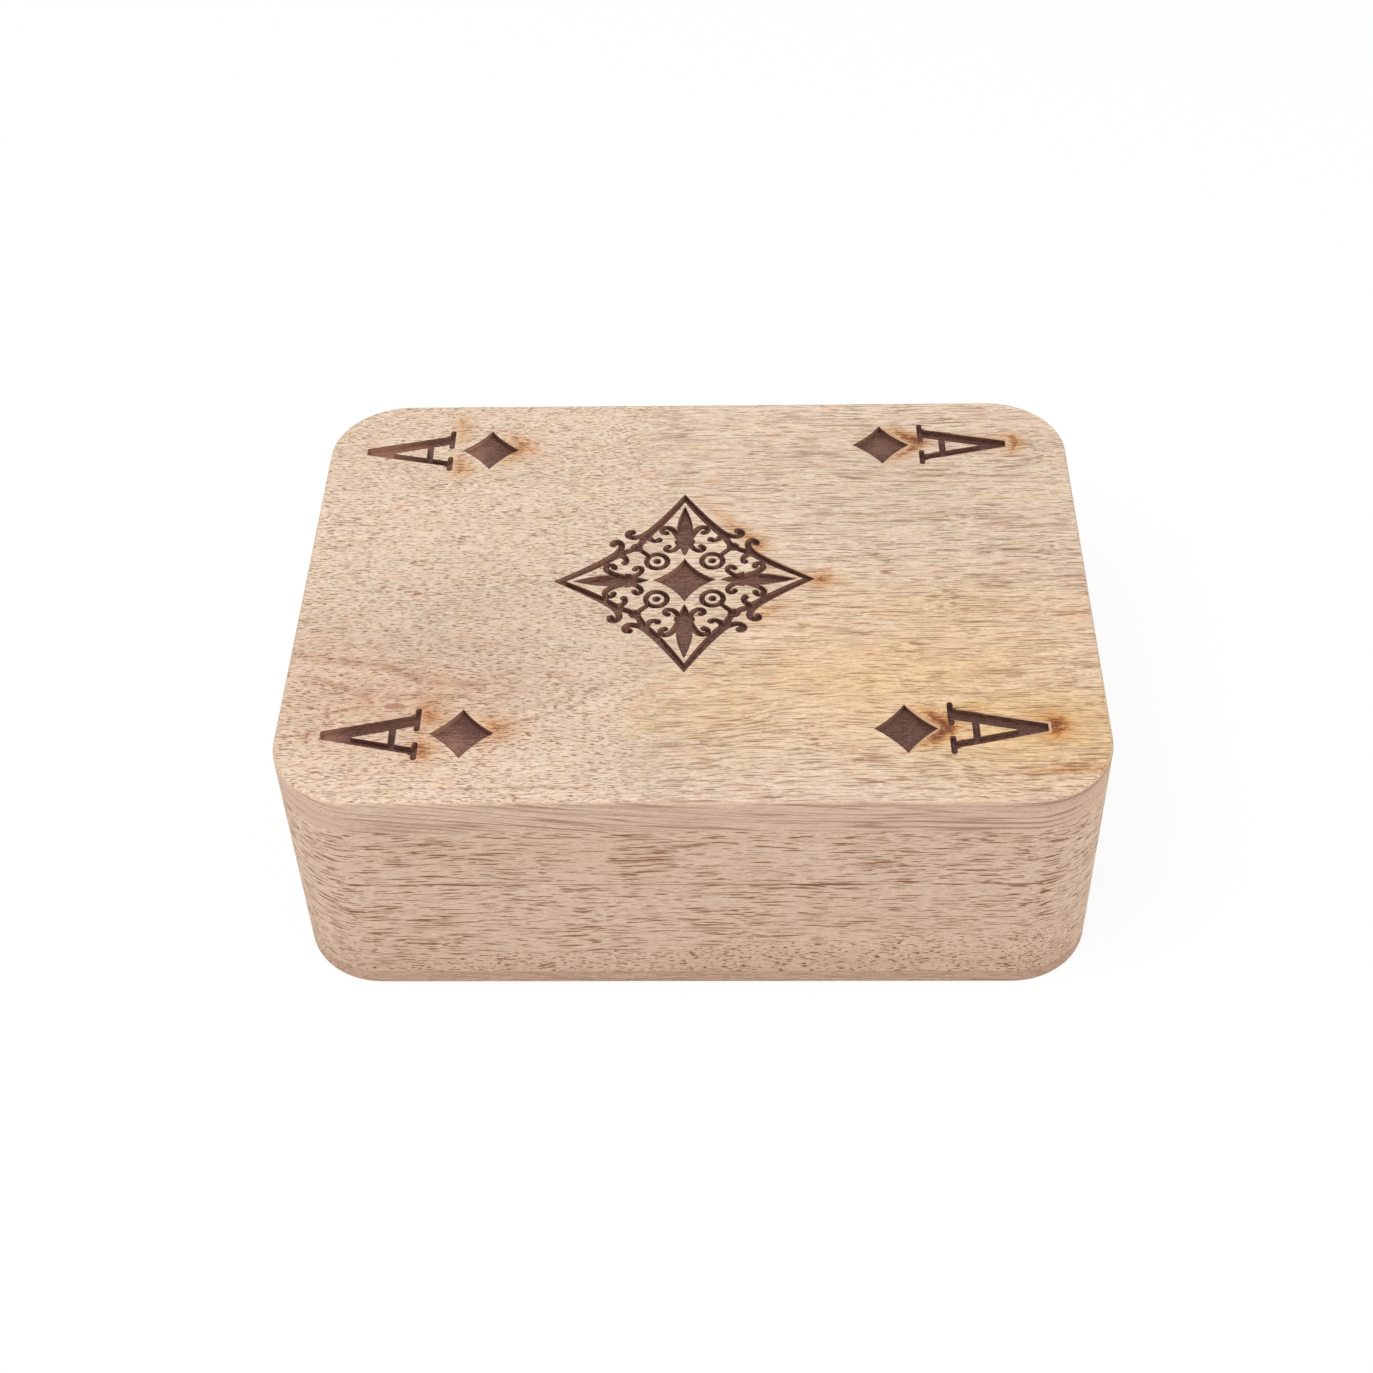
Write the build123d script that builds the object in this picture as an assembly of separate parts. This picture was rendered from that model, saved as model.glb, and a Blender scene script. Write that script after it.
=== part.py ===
"""Playing card storage box for two decks, in millimetres.

A deep wooden lid stands on a base of the same rounded outline. Both are rings of
four mitred boards, closed by a thick panel on top and a thin panel underneath.
Two brass butt hinges join them along the back, and disc magnets hidden in the
front rims hold the lid shut. A scooped divider parts the base into two wells.

+X runs along the box, -Y is the front, +Z is up, and the origin is the centre of
the underside.
"""

import os

from build123d import *

# Outline of the box
box_width = 152.0
box_depth = 112.6
corner_radius = 15.5
wall_thickness = 8.0

# Heights, from the table up
bottom_panel_thickness = 3.6
base_wall_height = 25.8
seam_gap = 0.12
lid_rail_height = 14.68
lid_panel_thickness = 8.1

# Eased edges
lid_edge_radius = 0.8
foot_edge_radius = 0.6
rim_edge_radius = 0.2

# Engraving sunk in the lid's top, a little off the middle and out of square
engraving_depth = 1.15
engraving_shift_x = -1.85
engraving_shift_y = 1.37
engraving_turn_angle = 0.63

# Diamond pips near the corners of the lid
pip_length = 11.8
pip_height = 12.3
pip_hollow = 0.4
pip_side_inset = 35.6
pip_end_inset = 15.85

# Scrollwork lozenge in the middle of the lid. Its reach is from the middle to a
# tip, and the points of each arm are shares of that reach.
lozenge_reach = 25.5
scroll_width = 1.4
link_width = 1.3
ring_radius = 2.05
ring_width = 1.15
dot_radius = 0.8
ball_radius = 1.25
star_reach = 6.2
star_hollow = 0.74
leaf_half_width = 1.6
collar_width = 1.2
collar_height = 4.0
frame_outer_shares = ((1, 0), (0.749, 0.164), (0.545, 0.326))
frame_inner_shares = ((0.506, 0.271), (0.692, 0.138), (0.914, 0))
leaf_shares = (0.271, 0.855)
collar_share = 0.431
hook_shares = ((0.549, 0.29), (0.486, 0.365), (0.51, 0.439))
petal_shares = ((0.439, 0.035), (0.565, 0.075), (0.6, 0.157))
tail_shares = ((0.431, 0.035), (0.353, 0.055), (0.329, 0.122))
ring_share = 0.212
ball_share = 0.373
shoulder_shares = (0.525, 0.298)

# Card divider and the stopped grooves that hold its ends
divider_thickness = 4.0
divider_height = 20.0
divider_edge_radius = 0.8
groove_depth = 2.5
groove_clearance = 0.1
scoop_radius = 16.0
scoop_depth = 9.0
scoop_corner_radius = 4.0

# Butt hinges
hinge_side_inset = 32.0
hinge_length = 25.0
knuckle_count = 5
knuckle_radius = 1.8
knuckle_end_gap = 0.2
knuckle_clearance = 0.2
pin_radius = 0.8
pin_clearance = 0.05
pin_end_chamfer = 0.2
leaf_thickness = 1.0
leaf_inner_land = 1.5
mortise_clearance = 0.15

# Countersunk hinge screws, two in each leaf
screw_spacing = 15.0
screw_head_radius = 1.8
screw_head_height = 0.8
screw_shank_radius = 0.9
screw_length = 7.0
screw_tip_length = 1.8
screw_clearance = 0.05
screw_slot_width = 0.45
screw_slot_depth = 0.4

# Closing magnets
magnet_radius = 2.5
magnet_thickness = 2.0
magnet_edge_chamfer = 0.2
magnet_clearance = 0.05
magnet_side_inset = 24.0

# How far a cutting shape runs past the face that it cuts
cut_overrun = 1.0

# Places worked out from the sizes above
inner_width = box_width - 2 * wall_thickness
inner_depth = box_depth - 2 * wall_thickness
base_rim_z = bottom_panel_thickness + base_wall_height
lid_rim_z = base_rim_z + seam_gap
lid_panel_z = lid_rim_z + lid_rail_height
front_rim_y = -(box_depth - wall_thickness) / 2
magnet_x = box_width / 2 - magnet_side_inset
hinge_x = box_width / 2 - hinge_side_inset
hinge_setback = knuckle_radius + knuckle_clearance
hinge_axis_y = box_depth / 2 + hinge_setback
hinge_axis_z = base_rim_z + seam_gap / 2
leaf_reach = wall_thickness - leaf_inner_land
leaf_width = hinge_setback + leaf_reach
leaf_face_z = -seam_gap / 2
screw_y = -hinge_setback - leaf_reach / 2
knuckle_pitch = hinge_length / knuckle_count

# The boards of a ring, each a quarter turn on from the one before, with the half
# length of its inner edge and how far that edge lies from the middle of the box
LONG_EDGE = (inner_width / 2, inner_depth / 2)
SHORT_EDGE = (inner_depth / 2, inner_width / 2)
RING_SIDES = {"front": LONG_EDGE, "right": SHORT_EDGE, "back": LONG_EDGE, "left": SHORT_EDGE}
HINGE_PLACES = {"left": -hinge_x, "right": hinge_x}
MAGNET_PLACES = {"left": -magnet_x, "right": magnet_x}
BASE_KNUCKLES = range(0, knuckle_count, 2)
LID_KNUCKLES = range(1, knuckle_count, 2)
UPRIGHT = Rot(0, 0, 0)
UPSIDE_DOWN = Rot(0, 180, 0)


def rounded_slab(bottom_z, thickness):
    """Slab with the outline that every layer of the box shares."""
    outline = RectangleRounded(box_width, box_depth, corner_radius)
    return Pos(0, 0, bottom_z) * extrude(outline, thickness)


def bottom_panel():
    """Thin panel under the base, eased where it meets the table."""
    slab = rounded_slab(0, bottom_panel_thickness)
    return fillet(slab.faces().sort_by(Axis.Z)[0].edges(), foot_edge_radius)


def arm_point(shares):
    """Point of a lozenge arm, from its shares of the lozenge's reach."""
    return tuple(share * lozenge_reach for share in shares)


def arm_arc(shares):
    """Arc through three points of a lozenge arm."""
    return ThreePointArc(*[arm_point(point) for point in shares])


def hollow_diamond(length, height, hollow):
    """Diamond whose four sides bow inwards."""
    tips = [Vector(length / 2, 0), Vector(0, height / 2), Vector(-length / 2, 0), Vector(0, -height / 2)]
    sides = []
    for here, there in zip(tips, tips[1:] + tips[:1]):
        middle = (here + there) * 0.5
        sides.append(ThreePointArc(here, middle - middle.normalized() * hollow, there))
    return make_face(sides)


def lily_leaf():
    """Pointed leaf along the middle of a lozenge arm."""
    start, end = [share * lozenge_reach for share in leaf_shares]
    middle = (start + end) / 2
    side = ThreePointArc((start, 0), (middle, leaf_half_width), (end, 0))
    return make_face([side, mirror(side, Plane.XZ)])


def half_frame():
    """One side of the pointed frame at the end of a lozenge arm."""
    outer = arm_arc(frame_outer_shares)
    inner = arm_arc(frame_inner_shares)
    return make_face([outer, Line(outer @ 1, inner @ 0), inner, Line(inner @ 1, outer @ 0)])


def lozenge_arm():
    """One arm of the lozenge: a lily in a pointed frame with hooked shoulders, and a
    ring and a ball between this arm and the next."""
    half = half_frame()
    for shares in (hook_shares, petal_shares, tail_shares):
        half += SlotArc(arm_arc(shares), scroll_width)
    ball_place = Vector(ball_share, ball_share) * lozenge_reach
    ring_place = Vector(ring_share, ring_share) * lozenge_reach
    half += SlotArc(Line(arm_point(shoulder_shares), ball_place), link_width)
    arm = half + mirror(half, Plane.XZ)
    arm += lily_leaf()
    arm += Pos(collar_share * lozenge_reach, 0) * Rectangle(collar_width, collar_height)
    ring = Circle(ring_radius + ring_width / 2) - Circle(ring_radius - ring_width / 2)
    arm += Pos(ring_place) * (ring + Circle(dot_radius))
    stem_start = ring_place + ring_place.normalized() * ring_radius
    arm += SlotArc(Line(stem_start, ball_place), ring_width)
    arm += Pos(ball_place) * Circle(ball_radius)
    return arm


def lozenge():
    """Four arms round a hollow-sided star."""
    outline = hollow_diamond(2 * star_reach, 2 * star_reach, star_hollow)
    for quarter_turns in range(4):
        outline += Rot(0, 0, 90 * quarter_turns) * lozenge_arm()
    return outline


def engraving():
    """Cutter for the lozenge and the pips."""
    outline = lozenge()
    pip_x = box_width / 2 - pip_side_inset
    pip_y = box_depth / 2 - pip_end_inset
    for x in (-pip_x, pip_x):
        for y in (-pip_y, pip_y):
            outline += Pos(x, y) * hollow_diamond(pip_length, pip_height, pip_hollow)
    cutter = extrude(outline, engraving_depth + cut_overrun)
    floor_z = lid_panel_z + lid_panel_thickness - engraving_depth
    return Pos(engraving_shift_x, engraving_shift_y, floor_z) * Rot(0, 0, engraving_turn_angle) * cutter


def lid_panel():
    """Thick panel that closes the lid, eased along its top edge and engraved."""
    slab = rounded_slab(lid_panel_z, lid_panel_thickness)
    slab = fillet(slab.faces().sort_by(Axis.Z)[-1].edges(), lid_edge_radius)
    return slab - engraving()


def wall_ring(bottom_z, height, rim_face):
    """Ring of walls before it is parted at the mitres. rim_face is 0 for a rim
    at the foot of the ring and -1 for one at its top."""
    block = rounded_slab(bottom_z, height)
    block = fillet(block.faces().sort_by(Axis.Z)[rim_face].edges(), rim_edge_radius)
    hollow = Box(inner_width, inner_depth, height + 2 * cut_overrun)
    return block - Pos(0, 0, bottom_z + height / 2) * hollow


def mitre_wedge(side, bottom_z, height):
    """Prism between the two mitre cuts that bound one board of a ring."""
    half_run, offset = RING_SIDES[side]
    quarter_turns = list(RING_SIDES).index(side)
    reach = wall_thickness + cut_overrun
    plan = Polygon(
        (-half_run - reach, -offset - reach),
        (half_run + reach, -offset - reach),
        (half_run, -offset),
        (-half_run, -offset),
        align=None,
    )
    prism = extrude(plan, height + 2 * cut_overrun)
    return Rot(0, 0, 90 * quarter_turns) * Pos(0, 0, bottom_z - cut_overrun) * prism


def mitred_boards(bottom_z, height, rim_face):
    """The four boards of one ring, by side."""
    ring = wall_ring(bottom_z, height, rim_face)
    return {side: ring & mitre_wedge(side, bottom_z, height) for side in RING_SIDES}


def card_divider():
    """Board between the wells, scooped so that fingers can reach the cards."""
    length = inner_depth + 2 * (groove_depth - groove_clearance)
    scoop = Pos(0, divider_height / 2 + scoop_radius - scoop_depth) * Circle(scoop_radius)
    profile = Rectangle(length, divider_height) - scoop
    scoop_corners = profile.vertices().group_by(Axis.Y)[-1].sort_by(Axis.X)[1:-1]
    profile = fillet(scoop_corners, scoop_corner_radius)
    middle = Plane.YZ.offset(-divider_thickness / 2)
    board = extrude(middle * profile, divider_thickness)
    top_edges = []
    for face in board.faces().filter_by(Axis.X):
        outline = face.edges().filter_by(Axis.Z, reverse=True)
        top_edges += outline.sort_by(Axis.Z)[1:]
    board = fillet(top_edges, divider_edge_radius)
    return Pos(0, 0, bottom_panel_thickness + divider_height / 2) * board


def divider_groove(inward):
    """Cutter for the stopped groove in the front wall (inward 1) or the back
    wall (inward -1)."""
    width = divider_thickness + 2 * groove_clearance
    height = divider_height + groove_clearance + cut_overrun
    depth = groove_depth + cut_overrun
    middle_y = -inward * (inner_depth / 2 + groove_depth - depth / 2)
    middle_z = bottom_panel_thickness - cut_overrun + height / 2
    return Pos(0, middle_y, middle_z) * Box(width, depth, height)


def hinge_rod(radius, length):
    """Cylinder along the hinge axis, in the hinge's own frame."""
    return Rot(0, 90, 0) * Cylinder(radius, length)


def knuckle_place(index):
    """Where a knuckle stands along the hinge."""
    return Pos((index + 0.5) * knuckle_pitch - hinge_length / 2, 0, 0)


def screw_places():
    """The two screw positions in a leaf, on its outer face."""
    return [Pos(side * screw_spacing / 2, screw_y, leaf_face_z) for side in (-1, 1)]


def screw_hole(depth):
    """Cutter for a countersunk hole, run past the face that it opens in."""
    head = screw_head_radius + screw_clearance
    shank = screw_shank_radius + screw_clearance
    half_section = Polyline(
        (0, 0, cut_overrun),
        (head, 0, cut_overrun),
        (head, 0, 0),
        (shank, 0, -screw_head_height),
        (shank, 0, -depth),
        (0, 0, -depth),
        close=True,
    )
    return revolve(make_face(half_section), Axis.Z)


def hinge_screw():
    """Slotted countersunk screw with its head at the origin, pointing down."""
    shank_length = screw_length - screw_tip_length
    half_section = Polyline(
        (0, 0, 0),
        (screw_head_radius, 0, 0),
        (screw_shank_radius, 0, -screw_head_height),
        (screw_shank_radius, 0, -shank_length),
        (0, 0, -screw_length),
        close=True,
    )
    slot = Box(2 * screw_head_radius + cut_overrun, screw_slot_width, 2 * screw_slot_depth)
    return revolve(make_face(half_section), Axis.Z) - slot


def hinge_leaf(own_knuckles, other_knuckles):
    """One leaf in the hinge's own frame: the plate lies below the axis and runs
    towards -Y, and its knuckles stand between those of the other leaf."""
    plate_z = leaf_face_z - leaf_thickness / 2
    leaf = Pos(0, -leaf_width / 2, plate_z) * Box(hinge_length, leaf_width, leaf_thickness)
    for index in own_knuckles:
        leaf += knuckle_place(index) * hinge_rod(knuckle_radius, knuckle_pitch - knuckle_end_gap)
    for index in other_knuckles:
        room = hinge_rod(hinge_setback, knuckle_pitch + knuckle_end_gap)
        leaf -= knuckle_place(index) * room
    leaf -= hinge_rod(pin_radius + pin_clearance, hinge_length + 2 * cut_overrun)
    for place in screw_places():
        leaf -= place * screw_hole(leaf_thickness + cut_overrun)
    return leaf


def hinge_pin():
    """Plain pin, as long as the row of knuckles."""
    pin = hinge_rod(pin_radius, hinge_length - knuckle_end_gap)
    return chamfer(pin.edges().filter_by(GeomType.CIRCLE), pin_end_chamfer)


def hinge_seat():
    """Cutter for one leaf's mortise and screw holes, in the hinge's own frame."""
    length = hinge_length + 2 * mortise_clearance
    width = leaf_reach + mortise_clearance + cut_overrun
    height = leaf_thickness + cut_overrun
    middle_y = -hinge_setback + cut_overrun - width / 2
    middle_z = leaf_face_z - leaf_thickness + height / 2
    seat = Pos(0, middle_y, middle_z) * Box(length, width, height)
    for place in screw_places():
        seat += place * screw_hole(screw_length + screw_clearance)
    return seat


def at_hinges(shape, turn):
    """Copies of a shape at both hinges, by side. turn stands the shape up for
    the base or upside down for the lid."""
    return {
        side: Pos(x, hinge_axis_y, hinge_axis_z) * turn * shape
        for side, x in HINGE_PLACES.items()
    }


def hinge_screws(turn):
    """All the screws of one half of the box."""
    pair = [place * hinge_screw() for place in screw_places()]
    placed = [at_hinges(screw, turn).values() for screw in pair]
    return Compound([screw for group in placed for screw in group])


def magnet():
    """Disc magnet, with its lower face on the origin."""
    disc = Pos(0, 0, magnet_thickness / 2) * Cylinder(magnet_radius, magnet_thickness)
    return chamfer(disc.edges().filter_by(GeomType.CIRCLE), magnet_edge_chamfer)


def magnet_pocket(low_overrun, high_overrun):
    """Cutter for a magnet's blind hole, run past the rim that it opens in."""
    height = magnet_thickness + low_overrun + high_overrun
    hole = Cylinder(magnet_radius + magnet_clearance, height)
    return Pos(0, 0, height / 2 - low_overrun) * hole


def at_magnets(shape, bottom_z):
    """Copies of a shape at both magnets, by side."""
    return {side: Pos(x, front_rim_y, bottom_z) * shape for side, x in MAGNET_PLACES.items()}


def base_nodes():
    """Everything that stays on the table."""
    walls = mitred_boards(bottom_panel_thickness, base_wall_height, -1)
    magnet_z = base_rim_z - magnet_thickness
    for pocket in at_magnets(magnet_pocket(0, cut_overrun), magnet_z).values():
        walls["front"] -= pocket
    for seat in at_hinges(hinge_seat(), UPRIGHT).values():
        walls["back"] -= seat
    walls["front"] -= divider_groove(1)
    walls["back"] -= divider_groove(-1)
    nodes = {f"base_{side}_wall": wall for side, wall in walls.items()}
    nodes["bottom_panel"] = bottom_panel()
    nodes["card_divider"] = card_divider()
    leaves = at_hinges(hinge_leaf(BASE_KNUCKLES, LID_KNUCKLES), UPRIGHT)
    pins = at_hinges(hinge_pin(), UPRIGHT)
    magnets = at_magnets(magnet(), magnet_z)
    for side in ("left", "right"):
        nodes[f"{side}_hinge_base_leaf"] = leaves[side]
        nodes[f"{side}_hinge_pin"] = pins[side]
        nodes[f"{side}_base_magnet"] = magnets[side]
    nodes["base_hinge_screws"] = hinge_screws(UPRIGHT)
    return nodes


def lid_nodes():
    """Everything that swings with the lid."""
    rails = mitred_boards(lid_rim_z, lid_rail_height, 0)
    for pocket in at_magnets(magnet_pocket(cut_overrun, 0), lid_rim_z).values():
        rails["front"] -= pocket
    for seat in at_hinges(hinge_seat(), UPSIDE_DOWN).values():
        rails["back"] -= seat
    nodes = {f"lid_{side}_rail": rail for side, rail in rails.items()}
    nodes["lid_panel"] = lid_panel()
    leaves = at_hinges(hinge_leaf(LID_KNUCKLES, BASE_KNUCKLES), UPSIDE_DOWN)
    magnets = at_magnets(magnet(), lid_rim_z)
    for side in ("left", "right"):
        nodes[f"{side}_hinge_lid_leaf"] = leaves[side]
        nodes[f"{side}_lid_magnet"] = magnets[side]
    nodes["lid_hinge_screws"] = hinge_screws(UPSIDE_DOWN)
    return nodes


def main():
    os.makedirs("parts", exist_ok=True)
    for name, shape in {**base_nodes(), **lid_nodes()}.items():
        export_step(shape, f"parts/{name}.step")


main()
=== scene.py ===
import math

import bmesh
import bpy
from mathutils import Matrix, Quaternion, Vector
from mathutils.geometry import delaunay_2d_cdt


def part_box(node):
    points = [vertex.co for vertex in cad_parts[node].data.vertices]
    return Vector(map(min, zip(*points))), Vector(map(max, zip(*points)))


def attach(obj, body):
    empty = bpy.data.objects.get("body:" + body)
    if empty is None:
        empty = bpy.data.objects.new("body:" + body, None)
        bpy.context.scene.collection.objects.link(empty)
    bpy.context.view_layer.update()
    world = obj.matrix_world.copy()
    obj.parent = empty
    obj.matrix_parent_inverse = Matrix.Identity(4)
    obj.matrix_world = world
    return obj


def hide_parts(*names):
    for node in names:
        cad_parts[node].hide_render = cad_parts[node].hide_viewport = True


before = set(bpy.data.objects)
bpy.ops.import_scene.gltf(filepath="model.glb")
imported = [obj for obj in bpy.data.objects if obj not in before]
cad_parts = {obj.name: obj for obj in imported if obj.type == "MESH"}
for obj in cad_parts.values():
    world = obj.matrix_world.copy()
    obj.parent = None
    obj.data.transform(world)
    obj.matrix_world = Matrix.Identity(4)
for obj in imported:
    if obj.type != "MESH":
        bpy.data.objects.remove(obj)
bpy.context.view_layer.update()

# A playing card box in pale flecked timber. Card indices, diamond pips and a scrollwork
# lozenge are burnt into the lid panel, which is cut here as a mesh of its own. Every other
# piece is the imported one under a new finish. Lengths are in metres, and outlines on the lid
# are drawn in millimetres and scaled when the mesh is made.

MM = 0.001

# Viewpoint of the photograph
camera_place = Vector((9.93, -312.13, 340.72)) * MM
camera_target = Vector((-2.08, -0.09, 24.24)) * MM
camera_roll = math.radians(1.825)
camera_lens = 57.43
camera_sensor = 36.0

# Light: how bright a white card looks under each source alone
ambient_level = 0.583
key_level = 0.52
fill_level = 0.225
key_place = Vector((-0.45, -0.4, 1.2))
fill_place = Vector((1.2, -0.3, 0.4))
key_size = 0.8
fill_size = 1.0
floor_half_size = 4.0
near_glow_share = 0.9
glow_start = 0.25
glow_full = 1.2
floor_bounce = (0.57, 0.56, 0.55, 1.0)

# Box outline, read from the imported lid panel
panel_low, panel_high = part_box("lid_panel")
lid_top = panel_high.z
half_width = panel_high.x
half_depth = panel_high.y
weld_distance = 0.002 * MM
top_margin = 6 * MM


def straight_half_length(node):
    """Half the straight stretch of a panel's long side, where its corners begin."""
    edge_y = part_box(node)[1].y - weld_distance
    return max(vertex.co.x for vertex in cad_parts[node].data.vertices if vertex.co.y > edge_y)


corner_radius = half_width - straight_half_length("lid_panel")

# Engraving: how it sits on the lid and how deep it goes
layout_shift = (-1.85, 1.37)
layout_turn = math.radians(0.63)
engraving_depth = 1.15
rim_slope_width = 0.08
lee_slope_width = 0.65
lee_start = 5.0
lee_full = 35.0
lee_gap = (45.2, 53.0)
rim_slope_depth = 0.12
wall_slope_width = 0.14
cdt_tolerance = 0.00001

# Card index letter, with U up the letter from its feet and V across it
letter_height = 18.1
letter_apex = (-1.05, 0.95)
letter_fork = (12.4, -0.7)
leg_start = 0.5
heavy_leg_foot = (2.1, 4.85)
light_leg_foot = (-5.15, -3.4)
heavy_slab = (0.6, 6.5)
light_slab = (-6.5, -1.95)
slab_height = 1.15
slab_overlap = 0.1
slab_bracket = 0.7
bracket_rise = 1.4 * slab_bracket
letter_bar = (4.25, 5.6)
letter_bar_ends = (-3.6, 2.6)
index_x = 48.05
index_y = 40.45

# Diamond pip
pip_half_length = 5.9
pip_half_height = 6.15
pip_hollow = 0.4
pip_x = 40.4

# Scrollwork lozenge
lozenge_reach = 25.5
leaf_fullness = 0.35
leaf_taper = 0.2
leaf_root_swell = 1.5
leaf_tip_swell = 1.15

# How finely curves are drawn
curve_steps = 12
short_curve_steps = 8
bracket_steps = 5
steps_per_turn = 28


# Flat outlines

def curve(start, pull_start, pull_end, end, steps=curve_steps):
    """Points along a cubic curve."""
    points = []
    for step in range(steps + 1):
        t = step / steps
        s = 1 - t
        weights = (s ** 3, 3 * s * s * t, 3 * s * t * t, t ** 3)
        corners = (start, pull_start, pull_end, end)
        points.append(tuple(sum(w * c[axis] for w, c in zip(weights, corners)) for axis in (0, 1)))
    return points


def curl(centre, outer, inner, start_angle, turns):
    """Points along a spiral that winds in round a centre, anticlockwise if turns is positive."""
    steps = max(curve_steps, round(abs(turns) * steps_per_turn))
    points = []
    for step in range(steps + 1):
        t = step / steps
        angle = math.radians(start_angle + 360 * turns * t)
        radius = outer * (inner / outer) ** t
        points.append((centre[0] + radius * math.cos(angle), centre[1] + radius * math.sin(angle)))
    return points


def disc(centre, radius):
    """Round outline."""
    return curl(centre, radius, radius, 0, 1)[:-1]


def ribbon(points, start_width, middle_width, end_width):
    """Four-cornered patches along a line whose width changes from end to end."""
    run = [0]
    for here, there in zip(points, points[1:]):
        run.append(run[-1] + math.dist(here, there))
    sides = []
    for index, (x, y) in enumerate(points):
        behind = points[max(index - 1, 0)]
        ahead = points[min(index + 1, len(points) - 1)]
        length = math.dist(behind, ahead)
        across = ((behind[1] - ahead[1]) / length, (ahead[0] - behind[0]) / length)
        t = run[index] / run[-1]
        half = (start_width * (1 - t) ** 2 + 2 * middle_width * t * (1 - t) + end_width * t * t) / 2
        left = (x + across[0] * half, y + across[1] * half)
        right = (x - across[0] * half, y - across[1] * half)
        sides.append((left, right))
    return [[a[0], a[1], b[1], b[0]] for a, b in zip(sides, sides[1:])]


def ring(centre, radius, width):
    """Patches round a circle."""
    outer = disc(centre, radius + width / 2)
    inner = disc(centre, radius - width / 2)
    return [[outer[n - 1], outer[n], inner[n], inner[n - 1]] for n in range(len(outer))]


def mirrored(outlines):
    """The outlines on the other side of the U axis."""
    return [[(x, -y) for x, y in outline] for outline in outlines]


def quarter_turned(outlines, quarters):
    """The outlines after some quarter turns about the origin."""
    cosine = (1, 0, -1, 0)[quarters]
    sine = (0, 1, 0, -1)[quarters]
    return [[(cosine * x - sine * y, sine * x + cosine * y) for x, y in outline] for outline in outlines]


def leaf(start, end, half_span):
    """Pointed leaf along the U axis, fullest near its start."""
    length = end - start
    pull_start = (start + length * leaf_fullness / 3, half_span * leaf_root_swell)
    pull_end = (start + length * (leaf_fullness + leaf_taper), half_span * leaf_tip_swell)
    side = curve((start, 0), pull_start, pull_end, (end, 0))
    return side + [(x, -y) for x, y in side[-2:0:-1]]


def slab_foot(low, high):
    """Slab across the end of a leg, with round ends."""
    radius = slab_height / 2
    high_end = curl((radius, high - radius), radius, radius, 0, 0.5)
    low_end = curl((radius, low + radius), radius, radius, 180, 0.5)
    return high_end + low_end


def letter_leg(foot, slab):
    """One leg of the index letter, on its slab foot and with a bracket at each side. Foot is the
    leg's span of V at its start. The leg runs up past the fork to the apex, which both legs share."""
    low, high = foot
    inner, outer = (low, high) if low > 0 else (high, low)
    inner_apex, outer_apex = letter_apex if low > 0 else letter_apex[::-1]
    head = [(letter_height, inner_apex), (letter_height, outer_apex)]
    outlines = [[(leg_start, inner), letter_fork] + head + [(leg_start, outer)], slab_foot(*slab)]
    for edge, away in ((inner, inner - outer), (outer, outer - inner)):
        reach = math.copysign(slab_bracket, away)
        root = (slab_height, edge)
        rise = (slab_height + bracket_rise, edge)
        spread = (slab_height - slab_overlap, edge + reach)
        back = (slab_height - slab_overlap, edge - reach / 2)
        outlines.append(curve(spread, root, root, rise, bracket_steps) + [back])
    return outlines


def index_letter():
    """Index letter of the ace, with its heavy leg on the +V side."""
    outlines = letter_leg(heavy_leg_foot, heavy_slab) + letter_leg(light_leg_foot, light_slab)
    bar_low, bar_high = letter_bar
    start, end = letter_bar_ends
    outlines.append([(bar_low, start), (bar_high, start), (bar_high, end), (bar_low, end)])
    return outlines


def pip():
    """Diamond with hollow sides."""
    tips = [(pip_half_length, 0), (0, pip_half_height), (-pip_half_length, 0), (0, -pip_half_height)]
    outline = []
    for here, there in zip(tips, tips[1:] + tips[:1]):
        middle = ((here[0] + there[0]) / 2, (here[1] + there[1]) / 2)
        share = 1 - 2 * pip_hollow / math.hypot(*middle)
        bend = (middle[0] * share, middle[1] * share)
        pull_here = tuple(h + (b - h) * 2 / 3 for h, b in zip(here, bend))
        pull_there = tuple(t + (b - t) * 2 / 3 for t, b in zip(there, bend))
        outline += curve(here, pull_here, pull_there, there, short_curve_steps)[:-1]
    return [outline]


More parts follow.
